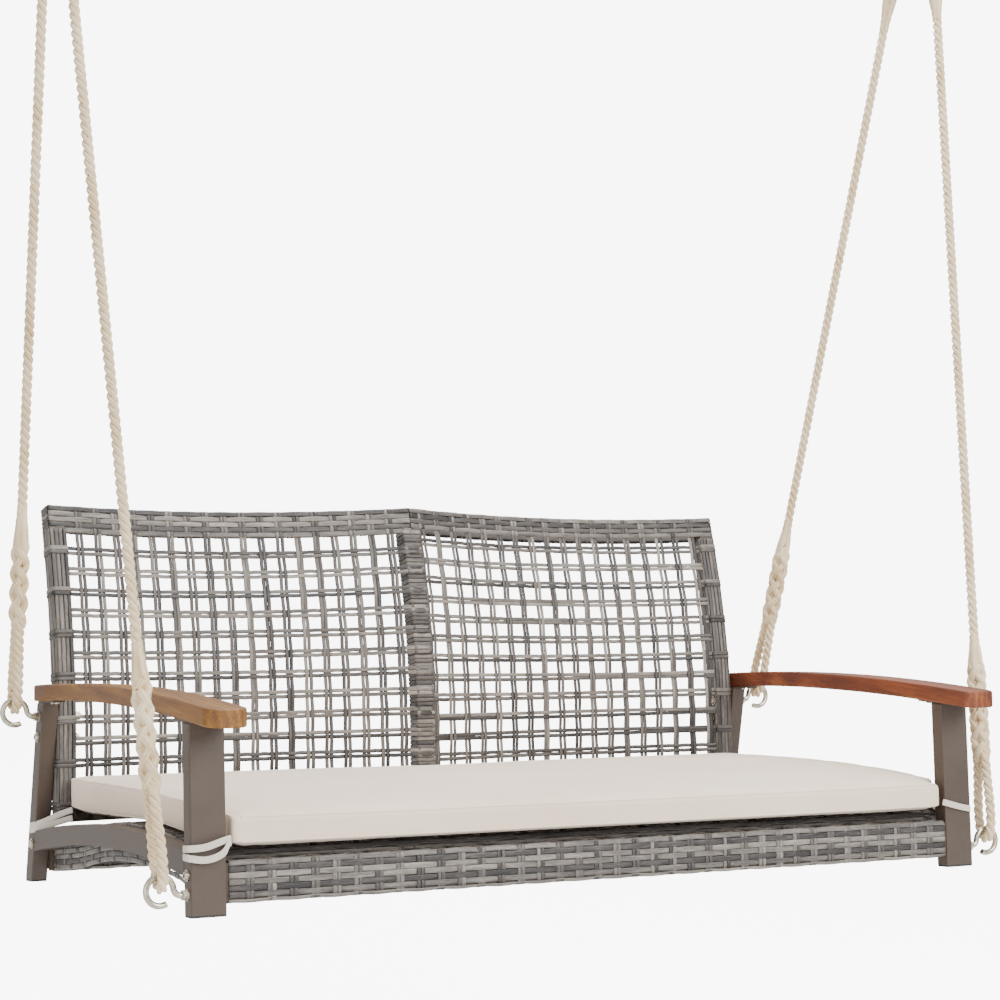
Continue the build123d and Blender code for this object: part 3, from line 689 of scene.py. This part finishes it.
def end_cap_strands(strips, side):
    """Short strands over the end of the top rail, from its front to its back."""
    def surface(over, s, out):
        return back_surface(side * (BACK_HALF - 1.3 + out), s, over)

    for number in range(6):
        lay_strand(
            strips,
            surface,
            steps_between(-13.5, 13.5, 3.0),
            lambda over: BACK_LONG - 5.0 - 6.6 * number,
            lambda over: 0.0,
        )


add_top_wrap()


def add_stile_wraps():
    """Each side post's wicker: strands up it, bound round by every second row of the back."""
    for name, side in SIDES:
        strips = Strips()
        low, high = STILE_IN + 1.4, BACK_HALF - 1.4
        girth = Girth([(low, -14.6), (high, -14.6), (high, 14.6), (low, 14.6)], 3.0, True)

        def surface(s, v, out):
            across, over = girth.at(v, -out)
            return back_surface(side * across, s, over + hollow(across))

        count = 16
        ways = [girth.long * index / count for index in range(count)]
        top = BACK_LONG - 40.0
        for number, way in enumerate(ways):
            drift, wobble = DICE.uniform(-0.5, 0.5), DICE.random() * 6
            lay_strand(
                strips,
                surface,
                steps_between(2.0, top, 6.0),
                lambda s: way + drift * sin(s / 60 + wobble),
                lambda s: 0.35 * sin(s / 33.0 + wobble),
            )
        first, pitch, row_count = ROWS[side]
        for number in range(0, row_count, 2):
            for edge in (-1, 1):
                lay_strand(
                    strips,
                    surface,
                    steps_between(0.0, girth.long, 2.4)[:-1],
                    lambda v: first - pitch * number + edge * PAIR_HALF,
                    lambda v: 1.5,
                    lengthways=False,
                    closed=True,
                )
        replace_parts(strips.piece(f"back_stile_wrap_{name}_strands", "wicker"), f"back_stile_wrap_{name}")


add_stile_wraps()


def add_ridge_wrap():
    """The middle post's wicker: strands wound round it, with the left half's rows laid over."""
    strips = Strips()
    girth = Girth([(-16.6, -14.6), (16.6, -14.6), (16.6, 14.6), (-16.6, 14.6)], 4.0, True)

    def surface(s, v, out):
        across, over = girth.at(v, -out)
        return back_surface(across, s, over + hollow(across) - hollow(0.0))

    for s in steps_between(22.0, BACK_LONG - 44.0, 6.9):
        tilt = DICE.uniform(-0.5, 0.5)
        lay_strand(
            strips,
            surface,
            steps_between(0.0, girth.long, 2.6)[:-1],
            lambda v: s + tilt * sin(2 * pi * v / girth.long),
            lambda v: 0.0,
            lengthways=False,
            closed=True,
        )
    first, pitch, count = ROWS[-1]
    for number in range(count - 1):
        for edge in (-1, 1):
            lay_strand(
                strips,
                back_surface,
                steps_between(-30.0, 15.0, 2.5),
                lambda x: first - pitch * number + edge * PAIR_HALF,
                lambda x: 14.4 + 2.8 * smooth((x + 30) / 12),
            )
    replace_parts(strips.piece("back_middle_wrap_strands", "wicker"), "back_middle_wrap")


add_ridge_wrap()


# ----------------------------------------
# Seat edge: dense weave round the front and rear tubes, wavy sides, and the deck
# ----------------------------------------
EDGE_LOW, EDGE_HIGH = 16.0, 72.0
EDGE_PITCH = 31.5


def box_weave(name, node, half_long, y0, y1):
    """A dense weave round a tube along X: its front face first."""
    strips = Strips()
    inset = 1.3
    low, high = EDGE_LOW + inset, EDGE_HIGH - inset
    corners = [(y0 + inset, high), (y0 + inset, low), (y1 - inset, low), (y1 - inset, high)]
    girth = Girth(corners, 4.0, True)

    def surface(u, v, out):
        y, z = girth.at(v, -out)
        return Vector((u, y, z))

    count = round(girth.long / 8.6)
    ways = [girth.long * (index + 0.5) / count for index in range(count)]
    pairs = int(2 * half_long / EDGE_PITCH)
    crossings = [(index - (pairs - 1) / 2) * EDGE_PITCH for index in range(pairs)]
    ends = (-half_long + 0.5, half_long - 0.5)
    bound_wrap(strips, surface, ends, ways, crossings, (0.0, girth.long), True, step=4.5)
    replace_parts(strips.piece(name, "wicker"), node)


box_weave("front_apron_strands", "front_apron_weave", 597.0, -352.0, -307.0)
box_weave("rear_apron_strands", "rear_apron_weave", 622.0, 290.0, 322.0)

SIDE_LOW = [(-326, 17), (-250, 37), (-150, 48), (-40, 51), (60, 45), (180, 28), (322, 16)]


def seat_contour(y):
    """Height of the woven sides' lower edge: a smooth curve through a few points."""
    index = 0
    while index < len(SIDE_LOW) - 2 and SIDE_LOW[index + 1][0] < y:
        index += 1
    (y0, z0), (y1, z1) = SIDE_LOW[index], SIDE_LOW[index + 1]

    def slope(at):
        low, high = SIDE_LOW[max(at - 1, 0)], SIDE_LOW[min(at + 1, len(SIDE_LOW) - 1)]
        return (high[1] - low[1]) / (high[0] - low[0])

    wide = y1 - y0
    t = (y - y0) / wide
    start = (2 * t**3 - 3 * t**2 + 1) * z0 + (t**3 - 2 * t**2 + t) * wide * slope(index)
    return start + (3 * t**2 - 2 * t**3) * z1 + (t**3 - t**2) * wide * slope(index + 1)


def add_side_aprons():
    """The woven sides under the seat: a dense strip that follows the contour."""
    for name, side in SIDES:
        strips = Strips()

        def surface(u, v, out):
            return Vector((side * (620.6 + out), u, seat_contour(u) + v))

        ways = [4.4 + 7.9 * index for index in range(7)]
        crossings = [-320 + EDGE_PITCH * index for index in range(20)]
        bound_wrap(strips, surface, (-324.5, 288.0), ways, crossings, (0.5, 55.5), False, 0.7, 4.5)
        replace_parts(strips.piece(f"side_apron_{name}_strands", "wicker"), f"side_apron_weave_{name}")


DECK_UP, DECK_HALF, DECK_ENDS = 54.6, 617.0, (-305.0, 288.0)
DECK_ROWS, ROW_FIRST, ROW_STEP = 69, -304.0, 8.7
DECK_PAIRS, PAIR_FIRST, PAIR_STEP = 38, -610.0, 33.0
EDGE_AT, EDGE_HALF_LONG, EDGE_FIRST, EDGE_STEP = -305.6, 596.0, 64.0, 7.6  # down to the front tube
DECK_STRAND = flat_outline(8.2, STRAND_THICK)


def add_deck():
    """The seat deck: a dense weave that the cushion lies over, and its turned-down front edge."""
    strips = Strips()

    def surface(u, v, out):
        return Vector((u, v, seat_contour(v) + DECK_UP + out))

    def edge_surface(u, v, out):
        return Vector((u, EDGE_AT + out, v))

    for number in range(DECK_ROWS):
        lay_strand(
            strips,
            surface,
            steps_between(-DECK_HALF, DECK_HALF, 6.0),
            lambda x: ROW_FIRST + ROW_STEP * number,
            wave_height(0.0, 1.0, PAIR_FIRST, PAIR_STEP, parity(number)),
            outline=DECK_STRAND,
        )
    for number in range(DECK_PAIRS):
        for edge in (-1, 1):
            lay_strand(
                strips,
                surface,
                steps_between(*DECK_ENDS, ROW_STEP / 3),
                lambda y: PAIR_FIRST + PAIR_STEP * number + edge * PAIR_HALF,
                wave_height(0.0, 1.0, ROW_FIRST, ROW_STEP, -parity(number)),
                lengthways=False,
            )
    for number in range(3):
        lay_strand(
            strips,
            edge_surface,
            steps_between(-EDGE_HALF_LONG, EDGE_HALF_LONG, 6.0),
            lambda x: EDGE_FIRST + EDGE_STEP * number,
            lambda x: 0.0,
            outline=DECK_STRAND,
        )
    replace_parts(strips.piece("seat_deck_strands", "wicker"), "seat_deck_weave")


add_side_aprons()
add_deck()

# ----------------------------------------
# Ropes
# ----------------------------------------
ROPE_RADIUS, ROPE_LAY = 7.9, 39.0
THROAT, TAPER_TOP, WIRE, RING_WIRE = 118.0, 300.0, 4.25, 5.0
EYE_OUT, EYE_UP = 38.5, 26.0  # of a hook's crest from its leg's outer face and its hole
LEG_FACE = 650.0
HOOK_PLACES = {"front": (-352 + 0.021 * 29.7 + 12.5, 29.7), "rear": (317 - 0.212 * 254.7 + 15, 254.7)}
RING_X = {"front": 782.0, "rear": 764.0}


def rope_ends(side, end):
    """A rope's two ends: the crest of its hook, and the bar of its ring."""
    y, z = HOOK_PLACES[end]
    low = Vector((side * (LEG_FACE + EYE_OUT), y, z + EYE_UP))
    high = Vector((side * RING_X[end], AXIS.y, AXIS.z))
    return low, high


def strand_outline(points_each, radius, lobes=3, deep=0.5):
    """A rope's section: round lobes with sharp grooves between, as (angle, distance)."""
    offset, lobe = radius * deep, radius * (1 - deep)
    outline = []
    for index in range(lobes * points_each):
        angle = 2 * pi * index / (lobes * points_each)
        from_lobe = (angle + pi / lobes) % (2 * pi / lobes) - pi / lobes
        root = lobe**2 - (offset * sin(from_lobe)) ** 2
        outline.append((angle, offset * cos(from_lobe) + sqrt(max(root, 0.0))))
    return outline


def frames_along(points):
    """A direction and two square to it at each point, turning as little as they can."""
    made, side = [], None
    for index, point in enumerate(points):
        ahead = (points[min(index + 1, len(points) - 1)] - points[max(index - 1, 0)]).normalized()
        if side is None:
            side = ahead.orthogonal()
        side = (side - ahead * side.dot(ahead)).normalized()
        made.append((point, side, ahead.cross(side)))
    return made


def twisted(strips, points, radius=ROPE_RADIUS, lay=ROPE_LAY, start=0.0):
    """Three strands laid up together along a line of points."""
    outline = strand_outline(8, radius)
    rings, lengths, travelled, last = [], [], start, None
    for point, side, over in frames_along(points):
        if last is not None:
            travelled += (point - last).length
        last = point
        turn = -2 * pi * travelled / lay
        ring = []
        for angle, out in outline:
            reach = side * cos(angle + turn) + over * sin(angle + turn)
            ring.append(point + reach * out)
        rings.append(ring)
        lengths.append(travelled * MM)
    strips.sweep(rings, lengths)


def spline_points(controls, step):
    """Points read from the NURBS spline of a route, an even step apart."""
    curve = bpy.data.curves.new("route", "CURVE")
    curve.dimensions = "3D"
    spline = curve.splines.new("NURBS")
    spline.points.add(len(controls) - 1)
    for point, control in zip(spline.points, controls):
        point.co = (*control, 1.0)
    spline.order_u = 3
    spline.use_endpoint_u = True
    spline.resolution_u = 64
    holder = bpy.data.objects.new("route", curve)
    mesh = bpy.data.meshes.new_from_object(holder)
    read = [vertex.co.copy() for vertex in mesh.vertices]
    bpy.data.objects.remove(holder)
    bpy.data.curves.remove(curve)
    bpy.data.meshes.remove(mesh)
    return even_points(read, step)


def even_points(read, step):
    """The same line with its points an even step apart."""
    places = [0.0]
    for low, high in zip(read, read[1:]):
        places.append(places[-1] + (high - low).length)
    count = max(2, round(places[-1] / step))
    made, index = [], 0
    for number in range(count + 1):
        place = places[-1] * number / count
        while index < len(places) - 2 and places[index + 1] < place:
            index += 1
        run = places[index + 1] - places[index]
        share = (place - places[index]) / max(run, 1e-9)
        made.append(read[index].lerp(read[index + 1], share))
    return made


class RopeAxes:
    """A rope's own axes at one end: along it, fore and aft across it, and out to the side."""

    def __init__(self, start, end):
        self.start = start
        self.along = (end - start).normalized()
        self.fore = (Vector((0, 1, 0)) - self.along * self.along.y).normalized()
        self.aside = self.along.cross(self.fore)

    def at(self, fore, up, aside=0.0):
        return self.start + self.fore * fore + self.along * up + self.aside * aside


def eye_loop(axes, held):
    """The rope's way round the bar it holds: two legs side by side, meeting at the throat."""
    turn = held + ROPE_RADIUS + 0.8
    leg = ROPE_RADIUS + 0.6
    down = [(leg - 0.5, 150), (leg, 120), (leg + 2.5, 75), (turn + 1.5, 32), (turn + 1.0, 8)]
    round_it = [(turn * 0.75, -turn * 0.92), (0.0, -turn * 1.3), (-turn * 0.75, -turn * 0.92)]
    up = [(-fore, height) for fore, height in reversed(down)]
    return [axes.at(fore, height) for fore, height in down + round_it + up]


def splice(strips, axes, start, end, wide, deep):
    """The tucked part of a splice: strands wound both ways, over and under each other."""
    lay, strand, rise, step = 92.0, 5.6, 1.5, 2.2
    heights = steps_between(start, end, step)
    for hand in (-1, 1):
        for number in range(3):
            points = []
            for height in heights:
                along = 2 * pi * height / lay
                angle = hand * along + 2 * pi * number / 3
                swell = smooth((height - start) / 22) * (1 - 0.25 * smooth((height - end + 22) / 22))
                out = hand * rise * cos(3 * along) - strand
                fore = (wide * blend_between(0.8, 1.0, swell) + out) * cos(angle)
                aside = (deep * blend_between(0.75, 1.0, swell) + out) * sin(angle)
                points.append(axes.at(fore, height, aside))
            round_tube(strips, points, lambda share: strand * tuck_size(share))


def tuck_size(share):
    """How full a tucked strand is along its length: it thins where it goes in and where it ends."""
    return 1.0 - 0.45 * (1 - smooth(share / 0.05)) - 0.4 * smooth((share - 0.94) / 0.06)


def round_tube(strips, points, radius_at, around=12):
    """A tube along points, its radius given by the share of its length."""
    rings, lengths, travelled, last = [], [], 0.0, None
    frames = frames_along(points)
    for index, (point, side, over) in enumerate(frames):
        if last is not None:
            travelled += (point - last).length * MM
        last = point
        radius = radius_at(index / (len(frames) - 1))
        angles = [2 * pi * number / around for number in range(around)]
        rings.append([point + (side * cos(a) + over * sin(a)) * radius for a in angles])
        lengths.append(travelled)
    strips.sweep(rings, lengths)


def taper(strips, axes, start, end, wide, deep):
    """The splice's smooth tapered end, its cut strands faired down to the rope."""
    rings, lengths = [], []
    for height in steps_between(start - 12, end, 2.5):
        share = smooth((height - start + 12) / (end - start + 12))
        fore, aside = blend_between(wide, ROPE_RADIUS, share), blend_between(deep, ROPE_RADIUS, share)
        ring = []
        for index in range(24):
            angle = 2 * pi * index / 24
            groove = 1 - 0.05 * (1 - share) * cos(5 * angle + height / 14)
            turn = angle - 2 * pi * height / ROPE_LAY
            lobes = 1 - 0.09 * smooth((share - 0.35) / 0.6) * (1 - cos(3 * turn)) / 2
            size = groove * lobes
            ring.append(axes.at(fore * size * cos(angle), height, aside * size * sin(angle)))
        rings.append(ring)
        lengths.append(height * MM)
    strips.sweep(rings, lengths)


SPLICE = {"front": (102.0, 262.0), "rear": (112.0, 250.0)}  # where a splice's tucks start and end
TUCKS_WIDE, TUCKS_DEEP = 17.0, 13.0  # half the size of the tucked part
TAPER_WIDE, TAPER_DEEP = 14.5, 11.5  # half the size of the taper where it starts


def spliced_eye(axes, held, end):
    """An eye round a bar, its tucked splice and its taper."""
    strips = Strips()
    start, top = SPLICE[end]
    twisted(strips, spline_points(eye_loop(axes, held), 2.0))
    splice(strips, axes, start, top, TUCKS_WIDE, TUCKS_DEEP)
    taper(strips, axes, top, TAPER_TOP + 6.0, TAPER_WIDE, TAPER_DEEP)
    return strips


def add_rope(name, side, end):
    """One rope: straight from the throat of its lower eye to the throat of its upper eye."""
    low, high = rope_ends(side, end)
    long = (high - low).length
    axes = RopeAxes(low, high)
    room = 6 * 2 * ROPE_RADIUS
    heights = (THROAT, THROAT + room, long - THROAT - room, long - THROAT)
    path = spline_points([axes.at(0, height) for height in heights], 2.5)
    strips = Strips()
    twisted(strips, path, start=THROAT)
    rope = strips.piece(f"rope_{end}_{name}_strands", "rope")
    low_eye = spliced_eye(axes, WIRE, end).piece(f"eye_lower_{end}_{name}", "rope")
    high_eye = spliced_eye(RopeAxes(high, low), RING_WIRE, end).piece(f"eye_upper_{end}_{name}", "rope")
    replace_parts(rope, f"rope_{end}_{name}")
    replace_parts(low_eye, f"eye_splices_lower_{name}")
    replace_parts(high_eye, f"eye_splices_upper_{name}")
    path = [row(point) for point in path]
    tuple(path[0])


def add_ropes():
    """The four ropes, each between two spliced eyes."""
    for name, side in SIDES:
        for end in ("front", "rear"):
            add_rope(name, side, end)


add_ropes()


# ----------------------------------------
# Cushion
# ----------------------------------------
SLACK, PUFF_CAP = 0.003, 0.006  # metres: drawn in before it is filled, and how far it may swell


def add_cushion():
    """The cushion: its foam's form, drawn in a little and puffed up by its filling."""
    source = NODES["cushion_foam"]
    mesh = source.data.copy()
    mesh.transform(source.matrix_world)
    mesh.materials.clear()
    mesh.materials.append(FINISHES["cushion_fabric"])
    cushion = placed("cushion", mesh)
    bpy.context.view_layer.objects.active = cushion
    for other in bpy.context.selected_objects:
        other.select_set(False)
    cushion.select_set(True)
    remesh = cushion.modifiers.new("even", "REMESH")
    remesh.mode = "VOXEL"
    remesh.voxel_size = 0.006
    bpy.ops.object.modifier_apply(modifier="even")
    normals = [vertex.normal.copy() for vertex in cushion.data.vertices]
    for vertex, normal in zip(cushion.data.vertices, normals):
        vertex.co -= normal * SLACK
    puff(cushion)
    refine = cushion.modifiers.new("refine", "SUBSURF")
    refine.levels = refine.render_levels = 1
    bpy.ops.object.modifier_apply(modifier="refine")
    cushion.data.polygons.foreach_set("use_smooth", [True] * len(cushion.data.polygons))
    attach(cushion, "swing")
    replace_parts(cushion, "cushion_cover", "cushion_foam")
    return cushion


def puff(cushion):
    """Blows the cushion up a little with cloth simulation, and caps how far it moves."""
    rest = [vertex.co.copy() for vertex in cushion.data.vertices]
    cloth = cushion.modifiers.new("cloth", "CLOTH")
    cloth.settings.use_pressure = True
    cloth.settings.uniform_pressure_force = 4.0
    cloth.settings.effector_weights.gravity = 0.0
    cloth.settings.tension_stiffness = 20.0
    cloth.settings.compression_stiffness = 20.0
    cloth.settings.bending_stiffness = 2.0
    scene = bpy.context.scene
    for number in range(1, 21):
        scene.frame_set(number)
    bpy.ops.object.modifier_apply(modifier="cloth")
    scene.frame_set(1)
    for vertex, start in zip(cushion.data.vertices, rest):
        moved = vertex.co - start
        if moved.length > PUFF_CAP:
            vertex.co = start + moved.normalized() * PUFF_CAP


cushion = add_cushion()
SEAM_RUNS = (  # a run's two ends across and fore and aft, and the way it faces
    ((-594, -362), (594, -362), (0, -1)),
    ((-618, -312), (-618, 256), (-1, 0)),
    ((618, -312), (618, 256), (1, 0)),
    ((-612, 261), (-116, 261), (0, 1)),
    ((116, 261), (612, 261), (0, 1)),
)
SEAM_RADIUS = 1.5


def rim_points(tree, start, end, facing, rise):
    """The cushion's upper or lower rim along a run, found on its puffed-up surface."""
    out, up = Vector((*facing, 0)), Vector((0, 0, rise))
    slope, across = (out + up).normalized(), (out - up).normalized()
    found = []
    for share in steps_between(0.0, 1.0, 0.012):
        foot = Vector((*start, 0)).lerp(Vector((*end, 0)), share)
        above = foot - out * 14 + Vector((0, 0, 120 + rise * 200))
        level = tree.ray_cast(above, -up)[0]
        if level is None:
            continue
        rim = Vector((foot.x, foot.y, level.z))
        rays = [rim + slope * 40 + across * shift for shift in range(-12, 13, 3)]
        hits = [tree.ray_cast(ray, -slope)[0] for ray in rays]
        found.append(max((hit for hit in hits if hit), key=lambda hit: hit.dot(slope)))
    even = [found[0]]
    for before, here, after in zip(found, found[1:], found[2:]):
        even.append((before + here * 2 + after) / 4)
    return even + [found[-1]]


def add_seams():
    """Stitched seams along the cushion's upper and lower rims."""
    to_seat = HANG.inverted() @ cushion.matrix_world
    places = [to_seat @ vertex.co for vertex in cushion.data.vertices]
    tree = BVHTree.FromPolygons(places, [tuple(face.vertices) for face in cushion.data.polygons])
    strips = Strips()
    for rise in (1, -1):
        for start, end, facing in SEAM_RUNS:
            points = spline_points(rim_points(tree, start, end, facing, rise), 4.0)
            round_tube(strips, points, lambda share: SEAM_RADIUS, around=8)
    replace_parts(strips.piece("cushion_seams", "cushion_fabric"), "cushion_cover")


add_seams()


# ----------------------------------------
# Cushion ties
# ----------------------------------------
TAPE = flat_outline(9.5, 1.3)
LOOSE = {"left": 7.0, "right": 0.0}  # how far the front tapes stand off the leg


def tape(strips, side, controls):
    """A flat tape along a smooth line through controls, given as (out from the middle, y, z)."""
    points = spline_points([(side * out, y, z) for out, y, z in controls], 3.0)
    facing = Vector((0, 0, 1))
    rings, lengths, travelled = [], [], 0.0
    for index, point in enumerate(points):
        ahead = (points[min(index + 1, len(points) - 1)] - points[max(index - 1, 0)]).normalized()
        across = (facing - ahead * facing.dot(ahead)).normalized()
        if index:
            travelled += (point - points[index - 1]).length * MM
        rings.append(ring_at(point, across, ahead.cross(across), TAPE))
        lengths.append(travelled)
    strips.sweep(rings, lengths)


def front_tie(side, loose):
    """Tape from the cushion's front corner round the leg: one taut run, or two that stand off it."""
    strips = Strips()
    if not loose:
        taut = [(594, -352, 101), (604, -354.6, 98), (628, -354, 92), (650, -353.6, 88)]
        taut += [(651, -340, 87), (646, -324.6, 88), (620, -324, 90), (598, -323, 93)]
        tape(strips, side, taut)
        return strips
    high = [(594, -352, 101), (602, -356, 100), (612, -356 - loose * 0.6, 98)]
    high += [(632, -355 - loose * 0.4, 91), (650, -354, 90), (650 + loose, -350, 90)]
    high += [(650 + loose * 0.7, -332, 89), (642, -324, 89), (620, -323, 90), (598, -323, 93)]
    low = [(594, -352, 97), (600, -357, 94), (608, -356 - loose * 0.9, 82)]
    low += [(630, -355 - loose * 0.5, 74), (650, -354, 77), (650 + loose, -350, 79)]
    low += [(650 + loose * 0.7, -332, 79), (642, -324, 79), (620, -323, 80), (598, -323, 86)]
    tape(strips, side, high)
    tape(strips, side, low)
    return strips


def rear_tie(side):
    """Two tapes from the cushion's rear corner, slack round the rear leg."""
    strips = Strips()
    for drop in (0, 12):
        low = drop * 0.6
        run = [(610, 240, 112 - drop), (622, 262, 106 - drop), (640, 292, 92 - low)]
        run += [(653, 300, 88 - low), (653, 322, 86 - low), (640, 333, 86 - low)]
        run += [(623, 333, 88 - low)]
        tape(strips, side, run)
    return strips


def add_ties():
    fronts, rears = [], []
    for name, side in SIDES:
        front = front_tie(side, LOOSE[name]).piece(f"tie_front_{name}", "tie_tape")
        rear = rear_tie(side).piece(f"tie_rear_{name}", "tie_tape")
        fronts.append(front)
        rears.append(rear)
    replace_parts(fronts[0], "cushion_ties_front")
    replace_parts(rears[0], "cushion_ties_rear")


add_ties()


# ----------------------------------------
# Floor and light
# ----------------------------------------
SEEN_WHITE, LIT_WHITE = 7.0, 1.0  # glow that only the camera sees, and the world's real light


def add_floor():
    """A wide pale floor under the hanging seat. Its glow is seen by the camera and lights nothing."""
    mesh = bpy.data.meshes.new("floor")
    reach, low = 30.0, cad_box[0][2] - 0.42
    corners = [(-reach, -reach, low), (reach, -reach, low), (reach, reach, low), (-reach, reach, low)]
    mesh.from_pydata(corners, [], [(0, 1, 2, 3)])
    finish = Finish("floor", 0.9)
    patches = finish.solid_noise(0.6, 3.0)
    finish.paint(finish.ramp(patches, [(0.3, (0.86, 0.86, 0.86, 1)), (0.7, (0.9, 0.9, 0.9, 1))]))
    seen = finish.node("ShaderNodeLightPath").outputs["Is Camera Ray"]
    finish.shader.inputs["Emission Color"].default_value = (1.0, 1.0, 1.0, 1.0)
    shine = finish.math("MULTIPLY", seen, SEEN_WHITE)
    finish.link(shine, finish.shader.inputs["Emission Strength"])
    mesh.materials.append(finish.material)
    floor = placed("floor", mesh)


def add_light(name, place, target, size, power):
    """A square soft light at a place, in the row's metres, that faces a target."""
    data = bpy.data.lights.new(name, "AREA")
    data.size = size
    data.energy = power
    lamp = placed(name, data)
    lamp.location = place
    aim = Vector(target) - Vector(place)
    lamp.rotation_euler = aim.to_track_quat("-Z", "Y").to_euler()


def add_lights():
    middle = (0.0, 0.0, -1.4)
    add_light("key", (1.2, -3.6, 0.8), middle, 2.2, 170.0)
    add_light("fill", (-3.4, -2.6, -0.4), middle, 2.5, 45.0)
    add_light("top", (0.4, 0.2, 1.6), middle, 2.5, 150.0)
    world = bpy.data.worlds.new("studio")
    world.use_nodes = True
    nodes, links = world.node_tree.nodes, world.node_tree.links
    nodes["Background"].inputs["Color"].default_value = (1.0, 1.0, 1.0, 1.0)
    seen = nodes.new("ShaderNodeLightPath").outputs["Is Camera Ray"]
    strength = nodes.new("ShaderNodeMapRange")
    strength.inputs["To Min"].default_value = LIT_WHITE
    strength.inputs["To Max"].default_value = SEEN_WHITE + LIT_WHITE
    links.new(seen, strength.inputs["Value"])
    links.new(strength.outputs["Result"], nodes["Background"].inputs["Strength"])
    bpy.context.scene.world = world


add_floor()
add_lights()
